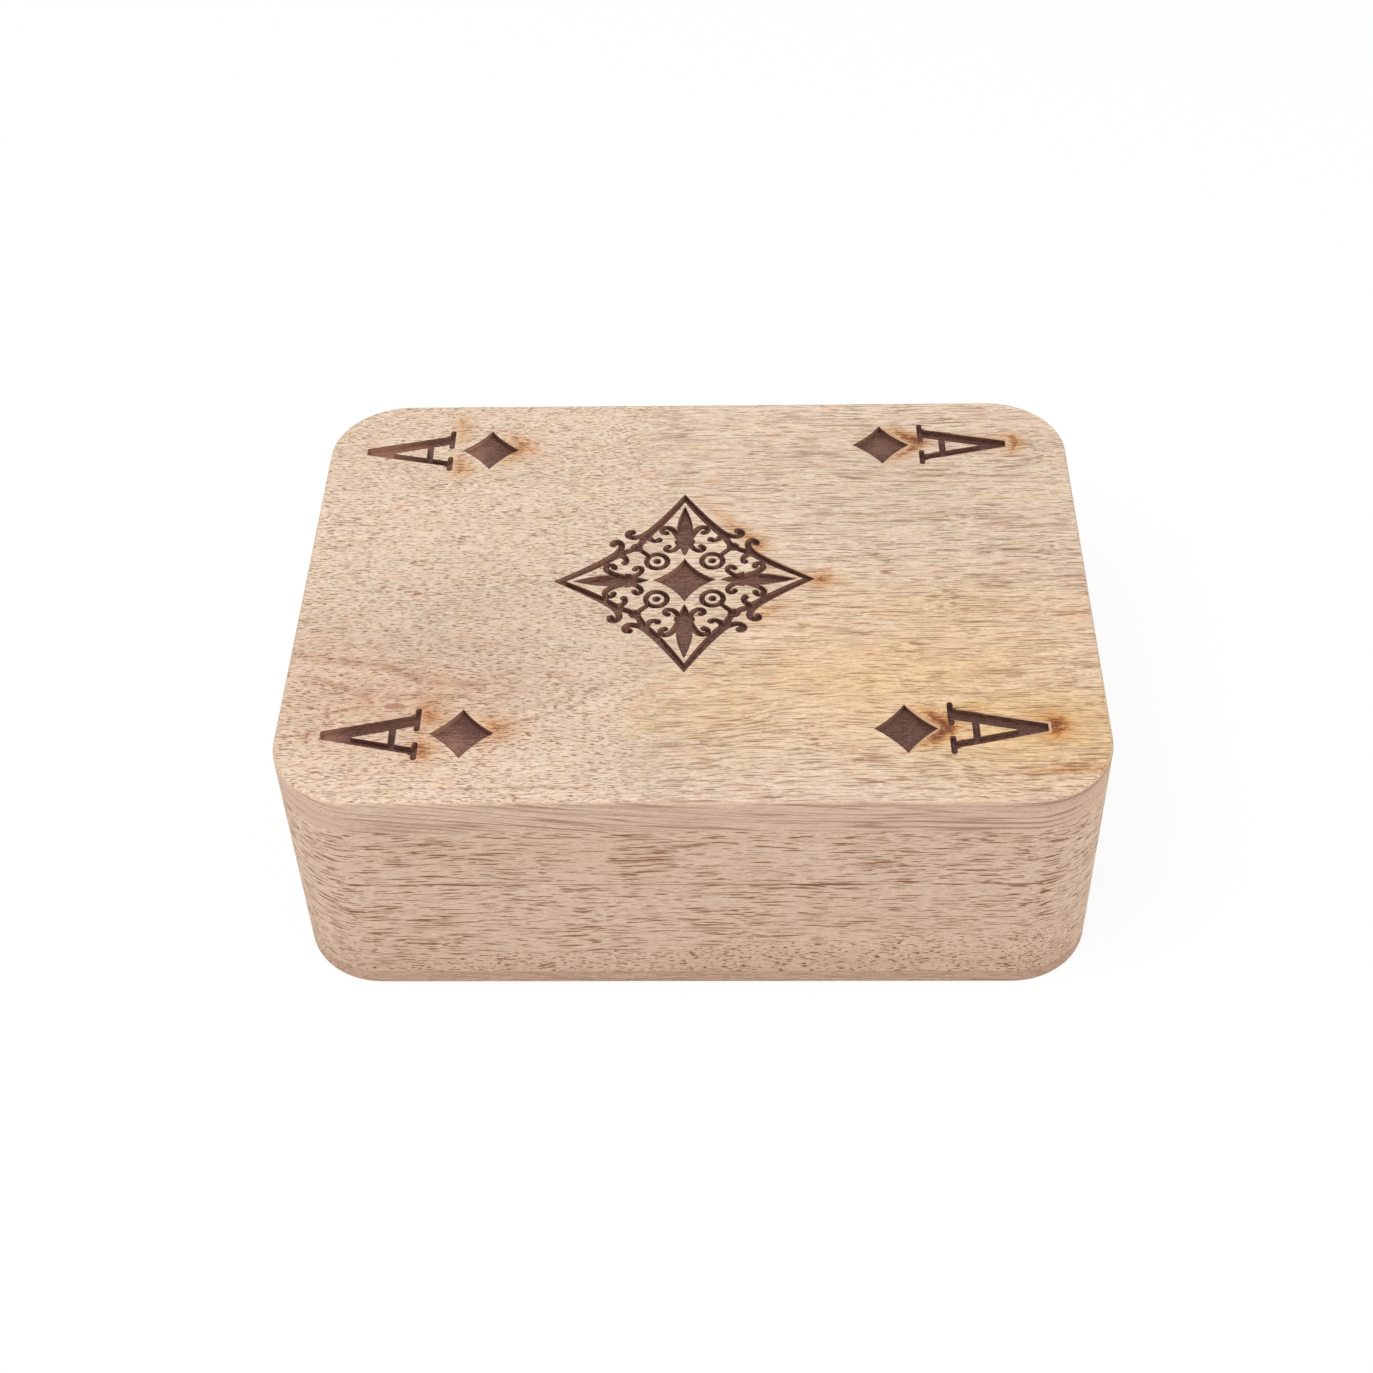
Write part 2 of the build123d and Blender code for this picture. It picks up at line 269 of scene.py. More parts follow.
def lozenge_half_arm():
    """Half of one arm of the lozenge, on the +V side of the U axis. Points are in millimetres
    from the middle of the lozenge."""
    outer = curve((lozenge_reach, 0), (20.8, 3.0), (17.0, 5.4), (13.9, 8.3))
    inner = curve((12.7, 6.7), (15.4, 4.5), (19.2, 2.05), (23.0, 0))
    outlines = [outer + inner]
    hook = curve((14.2, 7.2), (12.6, 8.5), (12.0, 10.2), (12.9, 11.1), short_curve_steps)[:-1]
    outlines += ribbon(hook + curl((13.7, 10.5), 1.0, 0.7, 143, -0.35), 1.2, 1.7, 1.1)
    outlines.append(disc((14.1, 10.5), 0.8))
    petal = curve((11.2, 0.9), (13.2, 1.4), (15.3, 2.4), (15.4, 3.6))[:-1]
    outlines += ribbon(petal + curl((14.35, 3.65), 1.05, 0.75, -4, 0.5), 1.3, 1.6, 1.0)
    outlines.append(disc((13.75, 3.7), 0.7))
    tail = curve((11.0, 0.9), (9.6, 1.1), (8.4, 1.9), (8.35, 3.0), short_curve_steps)[:-1]
    outlines += ribbon(tail + curl((9.2, 3.1), 0.85, 0.6, 186, -0.45), 1.3, 1.2, 1.0)
    outlines.append(disc((9.7, 3.2), 0.65))
    sprig = curve((13.2, 7.5), (12.0, 7.1), (11.2, 6.3), (11.4, 5.3), short_curve_steps)
    outlines += ribbon(sprig, 1.8, 1.2, 1.1)
    outlines.append(disc((11.7, 5.1), 0.75))
    tie = curve((13.2, 7.8), (11.9, 8.2), (10.8, 8.4), (9.5, 9.5), short_curve_steps)
    outlines += ribbon(tie, 1.9, 1.2, 1.5)
    return outlines


def lozenge():
    """Scrollwork lozenge: a lily in each of four pointed heads, rings between them and a
    hollow-sided star in the middle."""
    arm = lozenge_half_arm()
    arm += mirrored(arm)
    arm.append(leaf(11.3, 21.8, 1.6))
    arm.append(leaf(10.9, 6.9, 0.9))
    arm.append([(10.4, -1.9), (11.6, -2.1), (11.6, 2.1), (10.4, 1.9)])
    ring_place = (5.4, 5.4)
    arm += ring(ring_place, 2.05, 1.15)
    arm.append(disc(ring_place, 0.8))
    arm += ribbon([(6.6, 6.6), (9.5, 9.5)], 1.0, 1.0, 1.2)
    arm.append(disc((9.5, 9.5), 1.25))
    star_side = curve((6.2, 0), (3.5, 1.3), (1.3, 3.5), (0, 6.2))
    arm.append([(0, 0)] + star_side)
    outlines = []
    for quarters in range(4):
        outlines += quarter_turned(arm, quarters)
    return outlines


def placed(outlines, place, side):
    """Outlines set down on the layout; side -1 turns them to point along -X."""
    return [[(place[0] + side * x, place[1] + y) for x, y in outline] for outline in outlines]


def engraving_outlines():
    """Everything burnt into the lid, in millimetres on the lid's top."""
    outlines = lozenge()
    for side in (-1, 1):
        for row in (-1, 1):
            outlines += placed(index_letter(), (side * index_x, row * index_y), side)
            outlines += placed(pip(), (side * pip_x, row * index_y), side)
    cosine = math.cos(layout_turn)
    sine = math.sin(layout_turn)
    shift_x, shift_y = layout_shift
    return [[(cosine * x - sine * y + shift_x, sine * x + cosine * y + shift_y) for x, y in outline]
            for outline in outlines]


# Node wiring

FLOAT = "NodeSocketFloat"
VECTOR = "NodeSocketVector"
COLOUR = "NodeSocketColor"
ORIGIN = (0, 0, 0)


def shade(red, green, blue):
    """Colour as written for a screen, 0 to 255, turned into the linear values that nodes take."""
    linear = []
    for value in (red, green, blue):
        level = value / 255
        linear.append(level / 12.92 if level <= 0.04045 else ((level + 0.055) / 1.055) ** 2.4)
    return (*linear, 1.0)


class Wiring:
    """Adds nodes to one tree and joins them up."""

    def __init__(self, tree):
        self.tree = tree

    def feed(self, socket, value):
        """Links a socket, or sets its own value."""
        if isinstance(value, bpy.types.NodeSocket):
            self.tree.links.new(value, socket)
        else:
            socket.default_value = value

    def node(self, kind, inputs=None, **settings):
        made = self.tree.nodes.new(kind)
        for name, value in settings.items():
            setattr(made, name, value)
        for name, value in (inputs or {}).items():
            self.feed(made.inputs[name], value)
        return made

    def math(self, operation, *terms):
        """Result of one operation on numbers."""
        made = self.node("ShaderNodeMath", operation=operation)
        for socket, term in zip(made.inputs, terms):
            self.feed(socket, term)
        return made.outputs["Value"]

    def times(self, first, second):
        return self.math("MULTIPLY", first, second)

    def scaled(self, value, factor, start):
        """Value times a factor, added to a start."""
        return self.math("MULTIPLY_ADD", value, factor, start)

    def vector(self, operation, *terms):
        """Result of one operation on vectors."""
        made = self.node("ShaderNodeVectorMath", operation=operation)
        for socket, term in zip(made.inputs, terms):
            self.feed(socket, term)
        return made.outputs["Value" if operation in ("LENGTH", "DOT_PRODUCT") else "Vector"]

    def parts(self, vector):
        return self.node("ShaderNodeSeparateXYZ", {"Vector": vector}).outputs

    def join(self, x, y, z):
        return self.node("ShaderNodeCombineXYZ", {"X": x, "Y": y, "Z": z}).outputs["Vector"]

    def ease(self, value, start, end, low=0.0, high=1.0, smooth=True):
        """Value brought from start..end to low..high, smoothly and held at both ends."""
        made = self.node(
            "ShaderNodeMapRange",
            {"Value": value, "From Min": start, "From Max": end, "To Min": low, "To Max": high},
            interpolation_type="SMOOTHSTEP" if smooth else "LINEAR",
        )
        return made.outputs["Result"]

    def noise(self, vector, stretch, detail=2.0, roughness=0.5, output="Fac"):
        """Noise over a vector that is first multiplied by a stretch along each axis."""
        place = self.vector("MULTIPLY", vector, stretch)
        made = self.node(
            "ShaderNodeTexNoise",
            {"Vector": place, "Scale": 1.0, "Detail": detail, "Roughness": roughness},
        )
        return made.outputs[output]

    def sway(self, vector, stretch, reach):
        """Noise that pushes a place either way, by up to half a reach along each axis."""
        push = self.vector("SUBTRACT", self.noise(vector, stretch, output="Color"), (0.5, 0.5, 0.5))
        return self.vector("MULTIPLY", push, reach)

    def swing(self, vector, stretch):
        """Noise from minus a half to a half."""
        return self.math("SUBTRACT", self.noise(vector, stretch, detail=3.0), 0.5)

    def blend(self, share, first, second, kind="MIX"):
        """Second colour laid over the first by a share."""
        made = self.node("ShaderNodeMix", data_type="RGBA", blend_type=kind)
        factor, colour_a, colour_b = made.inputs[0], made.inputs[6], made.inputs[7]
        self.feed(factor, share)
        self.feed(colour_a, first)
        self.feed(colour_b, second)
        return made.outputs[2]

    def tint(self, share, colour, tint):
        """Colour multiplied by a tint, by a share."""
        return self.blend(share, colour, tint, "MULTIPLY")

    def group(self, tree, inputs):
        made = self.node("ShaderNodeGroup", node_tree=tree)
        for name, value in inputs.items():
            self.feed(made.inputs[name], value)
        return made.outputs


def cleared(owner):
    """Wiring of a material or a world whose nodes are cleared away first."""
    owner.use_nodes = True
    owner.node_tree.nodes.clear()
    return Wiring(owner.node_tree)


def new_group(name, inputs, outputs):
    """Node group with named sockets: its wiring, what it is given and what it makes. Each input's
    own value tells whether it is a number, a vector or a colour."""
    tree = bpy.data.node_groups.new(name, "ShaderNodeTree")
    for label, value in inputs.items():
        kind = FLOAT if isinstance(value, float) else VECTOR if len(value) == 3 else COLOUR
        socket = tree.interface.new_socket(label, in_out="INPUT", socket_type=kind)
        socket.default_value = value
    for label, kind in outputs.items():
        tree.interface.new_socket(label, in_out="OUTPUT", socket_type=kind)
    wire = Wiring(tree)
    given = wire.node("NodeGroupInput").outputs
    made = wire.node("NodeGroupOutput").inputs
    return wire, given, made


# Make-up of the flecked timber. A stretch is in cells to the millimetre, along the grain and twice
# across it. A sway is in millimetres. A span or a fade goes from where a thing begins to where it
# is full, and one of four numbers ends with how strong the thing is at each of the two.
waver_stretch = (0.03, 0.06, 0.06)
drift_stretch = (0.025, 0.03, 0.03)
grain_sway = (0.0, 4.5, 4.5)
ring_waver = (0.0, 0.4, 0.4)
tear_stretch = (0.7, 2.2, 2.2)
tear_sway = (1.2, 0.1, 0.1)
crowd_stretch = (0.07, 0.2, 0.2)
crowd_span = (0.3, 0.7)
crowding_reach = 0.022
fleck_fade = (-0.01, 0.08)
long_cut = 0.6
short_cut = 0.613
dot_cut = 0.583
short_length_share = 0.5
dot_length_share = 0.16
narrow_pitch_share = 0.9
short_shift = (37.0, 11.3, 19.7)
short_strength = 0.85
long_span = (0.8, 0.3)
dot_span = (0.2, 0.7)
fibre_stretch = (0.22, 3.0, 3.0)
mottle_stretch = (1.0, 4.0, 4.0)
cloud_stretch = (0.014, 0.05, 0.05)
fibre_share = 0.35
cloud_share = 0.15
mottle_share = 0.5
tone_span = (0.38, 0.62)
ring_stretch = (0.01, 1.0, 1.0)
line_levels = (0.47, 0.58)
line_fade = (0.028, 0.006)
next_line_share = 0.7
band_span = (0.5, 0.75)
line_share = 0.8
band_share = 0.2
smooth_roughness = 0.5
tone_roughness = 0.14
fleck_roughness = 0.12
fibre_height = 0.35
pore_height = -1.0


def fleck_layer(wire, place, length, pitch, cut, crowding):
    """Mask of flecks along X: the peaks of a noise that is that long and that wide."""
    cell = wire.join(length, pitch, pitch)
    made = wire.node(
        "ShaderNodeTexNoise",
        {"Vector": wire.vector("DIVIDE", place, cell), "Scale": 1.0, "Detail": 1.0, "Roughness": 0.4},
    )
    peak = wire.math("ADD", made.outputs["Fac"], crowding)
    return wire.ease(peak, cut + fleck_fade[0], cut + fleck_fade[1])


def all_flecks(wire, place, given):
    """Mask of long and short flecks, or of dots where the Dot Share is high."""
    torn = wire.vector("ADD", place, wire.sway(place, tear_stretch, tear_sway))
    crowd = wire.noise(place, crowd_stretch)
    crowding = wire.ease(crowd, *crowd_span, -crowding_reach, crowding_reach)
    length = given["Fleck Length"]
    pitch = given["Fleck Pitch"]
    narrow_pitch = wire.times(pitch, narrow_pitch_share)
    long_flecks = fleck_layer(wire, torn, length, pitch, long_cut, crowding)
    apart = wire.vector("ADD", torn, short_shift)
    short_length = wire.times(length, short_length_share)
    short_flecks = fleck_layer(wire, apart, short_length, narrow_pitch, short_cut, crowding)
    long_flecks = wire.math("MAXIMUM", long_flecks, wire.times(short_flecks, short_strength))
    dot_length = wire.times(length, dot_length_share)
    dots = fleck_layer(wire, torn, dot_length, narrow_pitch, dot_cut, crowding)
    long_flecks = wire.times(long_flecks, wire.ease(given["Dot Share"], *long_span))
    dots = wire.times(dots, wire.ease(given["Dot Share"], *dot_span))
    return wire.math("MAXIMUM", long_flecks, dots)


def growth_lines(wire, place, waver, given):
    """Mask of two sets of growth lines and a broad band, round the pith or in flat layers."""
    bent = wire.vector("MULTIPLY_ADD", waver, ring_waver, place)
    along, across, height = wire.parts(bent)
    slope, pith_y, pith_z = wire.parts(given["Pith"])
    fall = wire.times(along, wire.times(along, given["Pith Bend"]))
    rise = wire.scaled(along, slope, height)
    rise = wire.math("SUBTRACT", rise, wire.math("ADD", pith_z, fall))
    aside = wire.times(wire.math("SUBTRACT", across, pith_y), given["Ring Share"])
    radius = wire.vector("LENGTH", wire.join(0.0, aside, rise))
    ring_place = wire.join(along, wire.math("DIVIDE", radius, given["Growth Spacing"]), 0.0)
    rings = wire.noise(ring_place, ring_stretch, roughness=0.6)
    line, next_line = (
        wire.ease(wire.math("ABSOLUTE", wire.math("SUBTRACT", rings, level)), *line_fade)
        for level in line_levels
    )
    lines = wire.math("MAXIMUM", line, wire.times(next_line, next_line_share))
    band = wire.ease(rings, *band_span)
    growth = wire.scaled(lines, line_share, wire.times(band, band_share))
    return wire.times(growth, given["Growth Strength"])


def flecked_timber_group():
    """Pale timber with brown flecks, fine fibres and growth lines round a pith. Vector is in
    millimetres with X along the grain. Pith holds how fast the pith falls away along X, and its
    Y and Z at X 0, and Pith Bend how its fall eases off. Ring Share 1 gives rings, 0 flat layers."""
    wire, given, made = new_group(
        "flecked timber",
        {
            "Vector": ORIGIN,
            "Fleck Length": 5.0,
            "Fleck Pitch": 0.8,
            "Fleck Strength": 0.6,
            "Dot Share": 0.0,
            "Pith": ORIGIN,
            "Pith Bend": 0.0,
            "Ring Share": 1.0,
            "Growth Spacing": 6.0,
            "Growth Strength": 0.2,
            "Pale Colour": shade(230, 205, 180),
            "Deep Colour": shade(205, 175, 148),
            "Fleck Colour": shade(150, 108, 76),
        },
        {"Colour": COLOUR, "Roughness": FLOAT, "Height": FLOAT},
    )
    start = given["Vector"]
    waver = wire.sway(start, waver_stretch, grain_sway)
    place = wire.vector("ADD", start, wire.sway(start, drift_stretch, grain_sway))
    flecks = all_flecks(wire, place, given)
    growth = growth_lines(wire, start, waver, given)
    fibres = wire.noise(place, fibre_stretch, detail=3.0, roughness=0.65)
    mottle = wire.noise(place, mottle_stretch, roughness=0.6)
    clouds = wire.noise(place, cloud_stretch, detail=3.0)
    tone = wire.scaled(fibres, fibre_share, wire.times(clouds, cloud_share))
    tone = wire.ease(wire.scaled(mottle, mottle_share, tone), *tone_span)
    body = wire.blend(tone, given["Pale Colour"], given["Deep Colour"])
    body = wire.blend(growth, body, given["Fleck Colour"])
    mark = wire.times(flecks, given["Fleck Strength"])
    wire.feed(made["Colour"], wire.blend(mark, body, given["Fleck Colour"]))
    rough = wire.scaled(tone, tone_roughness, smooth_roughness)
    wire.feed(made["Roughness"], wire.scaled(flecks, fleck_roughness, rough))
    wire.feed(made["Height"], wire.scaled(fibres, fibre_height, wire.times(flecks, pore_height)))
    return wire.tree


# Make-up of the corner wrap, the smoke trail and the worn metal, in the same terms
side_shift = 40.0
trail_falloff = 1.7
scratch_stretch = (0.6, 9.0, 9.0)
scratch_share = 0.5
spot_stretch = (0.5, 0.5, 0.5)
spot_span = (0.45, 0.7)
spot_share = 0.2
wear_roughness = 0.25


def corner_wrap_group():
    """Coordinates that follow a wall board round the box's corners, in millimetres: X runs along
    the board, Y out through it, apart for its two sides, and Z up. Depth is how far a point lies
    from the corner's centre line."""
    wire, given, made = new_group(
        "corner wrap",
        {"Vector": ORIGIN, "Straight": 60.0, "Inset": 40.0, "Corner Run": 24.0},
        {"Vector": VECTOR, "Depth": FLOAT},
    )
    x, y, z = wire.parts(given["Vector"])
    run = wire.math("ABSOLUTE", x)
    past = wire.math("MAXIMUM", wire.math("SUBTRACT", run, given["Straight"]), 0.0)
    out = wire.math("SUBTRACT", wire.math("ABSOLUTE", y), given["Inset"])
    turn = wire.math("ARCTAN2", past, out)
    run = wire.math("MINIMUM", run, given["Straight"])
    run = wire.scaled(turn, given["Corner Run"], run)
    run = wire.times(run, wire.math("SIGN", x))
    depth = wire.vector("LENGTH", wire.join(past, out, 0.0))
    other_side = wire.times(wire.math("SIGN", y), side_shift)
    wire.feed(made["Vector"], wire.join(run, wire.math("ADD", depth, other_side), z))
    wire.feed(made["Depth"], depth)
    return wire.tree


def soft_patch_group():
    """Mask that fades out round a centre. Waver pushes its edge in and out."""
    wire, given, made = new_group(
        "soft patch",
        {"Vector": ORIGIN, "Centre": ORIGIN, "Reach": (5, 5, 50), "Waver": 0.0},
        {"Mask": FLOAT},
    )
    offset = wire.vector("SUBTRACT", given["Vector"], given["Centre"])
    offset = wire.vector("DIVIDE", offset, given["Reach"])
    distance = wire.math("ADD", wire.vector("LENGTH", offset), given["Waver"])
    wire.feed(made["Mask"], wire.ease(distance, 1.0, 0.0))
    return wire.tree


def smoke_trail_group():
    """Mask that fades out round a line from Start to End, with a reach and a strength of its own
    at each end. Waver pushes its edge in and out."""
    wire, given, made = new_group(
        "smoke trail",
        {
            "Vector": ORIGIN,
            "Start": ORIGIN,
            "End": (1, 0, 0),
            "Start Reach": 2.0,
            "End Reach": 2.0,
            "Start Strength": 1.0,
            "End Strength": 1.0,
            "Waver": 0.0,
        },
        {"Mask": FLOAT},
    )
    run = wire.vector("SUBTRACT", given["End"], given["Start"])
    offset = wire.vector("SUBTRACT", given["Vector"], given["Start"])
    length_squared = wire.vector("DOT_PRODUCT", run, run)
    share = wire.math("DIVIDE", wire.vector("DOT_PRODUCT", offset, run), length_squared)
    share = wire.ease(share, 0.0, 1.0, smooth=False)
    nearest = wire.vector("MULTIPLY", run, wire.join(share, share, share))
    distance = wire.vector("LENGTH", wire.vector("SUBTRACT", offset, nearest))
    reach = wire.ease(share, 0.0, 1.0, given["Start Reach"], given["End Reach"], smooth=False)
    strength = wire.ease(share, 0.0, 1.0, given["Start Strength"], given["End Strength"], smooth=False)
    distance = wire.math("ADD", wire.math("DIVIDE", distance, reach), given["Waver"])
    fade = wire.math("POWER", wire.ease(distance, 1.0, 0.0, smooth=False), trail_falloff)
    wire.feed(made["Mask"], wire.times(fade, strength))
    return wire.tree


def worn_metal_group():
    """Fine scratches along X and dull spots on a small metal fitting. Vector is in millimetres."""
    wire, given, made = new_group(
        "worn metal",
        {
            "Vector": ORIGIN,
            "Bright Colour": shade(220, 190, 120),
            "Dull Colour": shade(170, 130, 70),
            "Roughness": 0.32,
        },
        {"Colour": COLOUR, "Roughness": FLOAT, "Height": FLOAT},
    )
    scratches = wire.noise(given["Vector"], scratch_stretch, detail=4.0, roughness=0.7)
    spots = wire.ease(wire.noise(given["Vector"], spot_stretch, detail=3.0), *spot_span)
    share = wire.scaled(scratches, scratch_share, wire.times(spots, spot_share))
    wire.feed(made["Colour"], wire.blend(share, given["Bright Colour"], given["Dull Colour"]))
    wire.feed(made["Roughness"], wire.scaled(share, wear_roughness, given["Roughness"]))
    wire.feed(made["Height"], scratches)
    return wire.tree


timber_group = flecked_timber_group()
wrap_group = corner_wrap_group()
patch_group = soft_patch_group()
trail_group = smoke_trail_group()
metal_group = worn_metal_group()


# Finishes

bump_strength = 0.7
grain_relief = 0.12 * MM
timber_specular = 0.4


def new_finish(name):
    """Empty material: its wiring and its surface coordinates in millimetres."""
    material = bpy.data.materials.new(name)
    wire = cleared(material)
    place = wire.node("ShaderNodeTexCoord").outputs["Object"]
    place = wire.vector("MULTIPLY", place, (1 / MM, 1 / MM, 1 / MM))
    return material, wire, place


def close_finish(wire, colour, roughness, height, relief, metallic=0.0, specular=0.5):
    """Principled surface over the wired colour, roughness and relief."""
    bump = wire.node("ShaderNodeBump", {"Strength": bump_strength, "Distance": relief, "Height": height})
    surface = wire.node(
        "ShaderNodeBsdfPrincipled",
        {
            "Base Color": colour,
            "Roughness": roughness,
            "Metallic": metallic,
            "Specular IOR Level": specular,
            "Normal": bump.outputs["Normal"],
        },
    )
    output = wire.node("ShaderNodeOutputMaterial")
    wire.feed(output.inputs["Surface"], surface.outputs["BSDF"])


def close_timber(wire, colour, made):
    """Timber surface of a colour, with the roughness and relief that the timber group made."""
    close_finish(wire, colour, made["Roughness"], made["Height"], grain_relief, specular=timber_specular)


def turned(wire, place):
    """Coordinates for a board whose grain runs along Y."""
    x, y, z = wire.parts(place)
    return wire.join(y, x, z)


WALL_TIMBER = {
    "Fleck Length": 8.0,
    "Fleck Pitch": 0.34,
    "Fleck Strength": 0.9,
    "Pith": (0.02, -30.0, -140.0),
    "Growth Spacing": 7.0,
    "Growth Strength": 0.12,
    "Pale Colour": shade(247, 217, 194),
    "Deep Colour": shade(228, 193, 163),
    "Fleck Colour": shade(150, 97, 48),
}
LID_TIMBER = {
    "Fleck Length": 9.0,
    "Fleck Pitch": 0.25,
    "Pith": (0.075, -28.0, 39.5),
    "Pith Bend": 0.00065,
    "Growth Spacing": 2.2,
    "Pale Colour": shade(244, 221, 199),
    "Fleck Colour": shade(140, 90, 54),
}
BOTTOM_TIMBER = {
    "Fleck Length": 6.0,
    "Fleck Pitch": 0.6,
    "Fleck Strength": 0.2,
    "Pith": (0.05, -120.0, -40.0),
    "Growth Spacing": 1.6,
    "Growth Strength": 0.35,
    "Pale Colour": shade(222, 186, 160),
    "Deep Colour": shade(194, 157, 131),
    "Fleck Colour": shade(138, 96, 66),
}
BURNT_TIMBER = {
    "Fleck Length": 3.0,
    "Fleck Pitch": 0.5,
    "Fleck Strength": 0.6,
    "Pith": (0.075, -28.0, 39.5),
    "Pith Bend": 0.00065,
    "Growth Spacing": 2.0,
    "Growth Strength": 0.3,
    "Pale Colour": shade(140, 97, 82),
    "Deep Colour": shade(90, 55, 44),
    "Fleck Colour": shade(52, 27, 18),
}

# Warm and rosy patches in the lid's timber, and broad patches where the lid is darker: centre and reach
# in millimetres, and strength
GOLDEN_PATCHES = [
    ((40.0, -26.0), (66.0, 34.0), 0.75),
    ((62.0, -39.0), (44.0, 24.0), 1.0),
    ((48.0, -8.0), (56.0, 18.0), 0.48),
    ((8.0, -34.0), (34.0, 20.0), 0.58),
]
ROSY_PATCHES = [
    ((-54.0, -32.0), (46.0, 26.0), 0.9),
    ((-72.0, -20.0), (20.0, 16.0), 0.6),
]
DULL_PATCHES = [
    ((-40.0, -16.0), (70.0, 48.0), 1.0),
    ((-10.0, -40.0), (40.0, 24.0), 0.6),
    ((46.0, 26.0), (56.0, 28.0), 0.6),
]
# Darker lines of the figure in the lid's timber, laid out as the smoke trails below
FIGURE_LINES = [
    ((-76.0, -18.4), (-59.0, -21.4), (2.4, 2.2), (0.5, 0.7)),
    ((-59.0, -21.4), (-50.5, -25.2), (2.2, 2.6), (0.7, 0.8)),
    ((-50.5, -25.2), (-39.5, -27.8), (2.6, 2.8), (0.8, 0.6)),
    ((-70.0, -25.0), (-60.0, -29.6), (2.2, 2.4), (0.5, 0.7)),
    ((-72.0, -35.8), (-59.0, -31.4), (0.8, 1.2), (0.6, 0.8)),
    ((-56.0, -29.8), (-41.0, -29.4), (1.6, 1.8), (0.7, 0.5)),
    ((-76.0, -40.2), (-68.2, -39.4), (0.6, 0.7), (0.7, 0.8)),
    ((-35.0, -38.2), (-20.0, -32.2), (0.6, 0.9), (0.8, 0.5)),
    ((-70.0, -53.6), (-18.0, -52.6), (0.7, 0.8), (0.5, 0.7)),
    ((20.0, -10.9), (34.0, -14.2), (0.8, 0.7), (0.9, 0.6)),
    ((50.0, -8.4), (75.0, -8.8), (0.6, 1.2), (0.5, 0.9)),
    ((57.0, -19.0), (75.0, -23.2), (0.8, 1.1), (0.7, 0.7)),
    ((24.0, -47.2), (39.5, -44.8), (0.7, 0.6), (0.7, 0.9)),
    ((26.0, -52.8), (36.0, -51.0), (0.6, 0.6), (0.7, 0.8)),
    ((36.0, -51.0), (60.0, -49.6), (0.6, 0.6), (0.8, 0.7)),
    ((30.0, 20.8), (76.0, 18.4), (0.8, 0.7), (0.8, 0.5)),
    ((56.0, 16.8), (75.0, 16.4), (0.7, 0.9), (0.6, 0.8)),
    ((28.0, 7.8), (44.0, 6.4), (0.8, 0.6), (0.8, 0.5)),
    ((54.0, 9.4), (74.0, 9.2), (0.6, 0.7), (0.7, 0.7)),
    ((52.0, 2.0), (76.0, 1.6), (0.6, 0.7), (0.7, 0.7)),
    ((28.0, 33.4), (72.0, 31.6), (0.7, 0.8), (0.6, 0.7)),
    ((44.0, 29.6), (74.0, 30.2), (0.6, 0.7), (0.7, 0.6)),
]
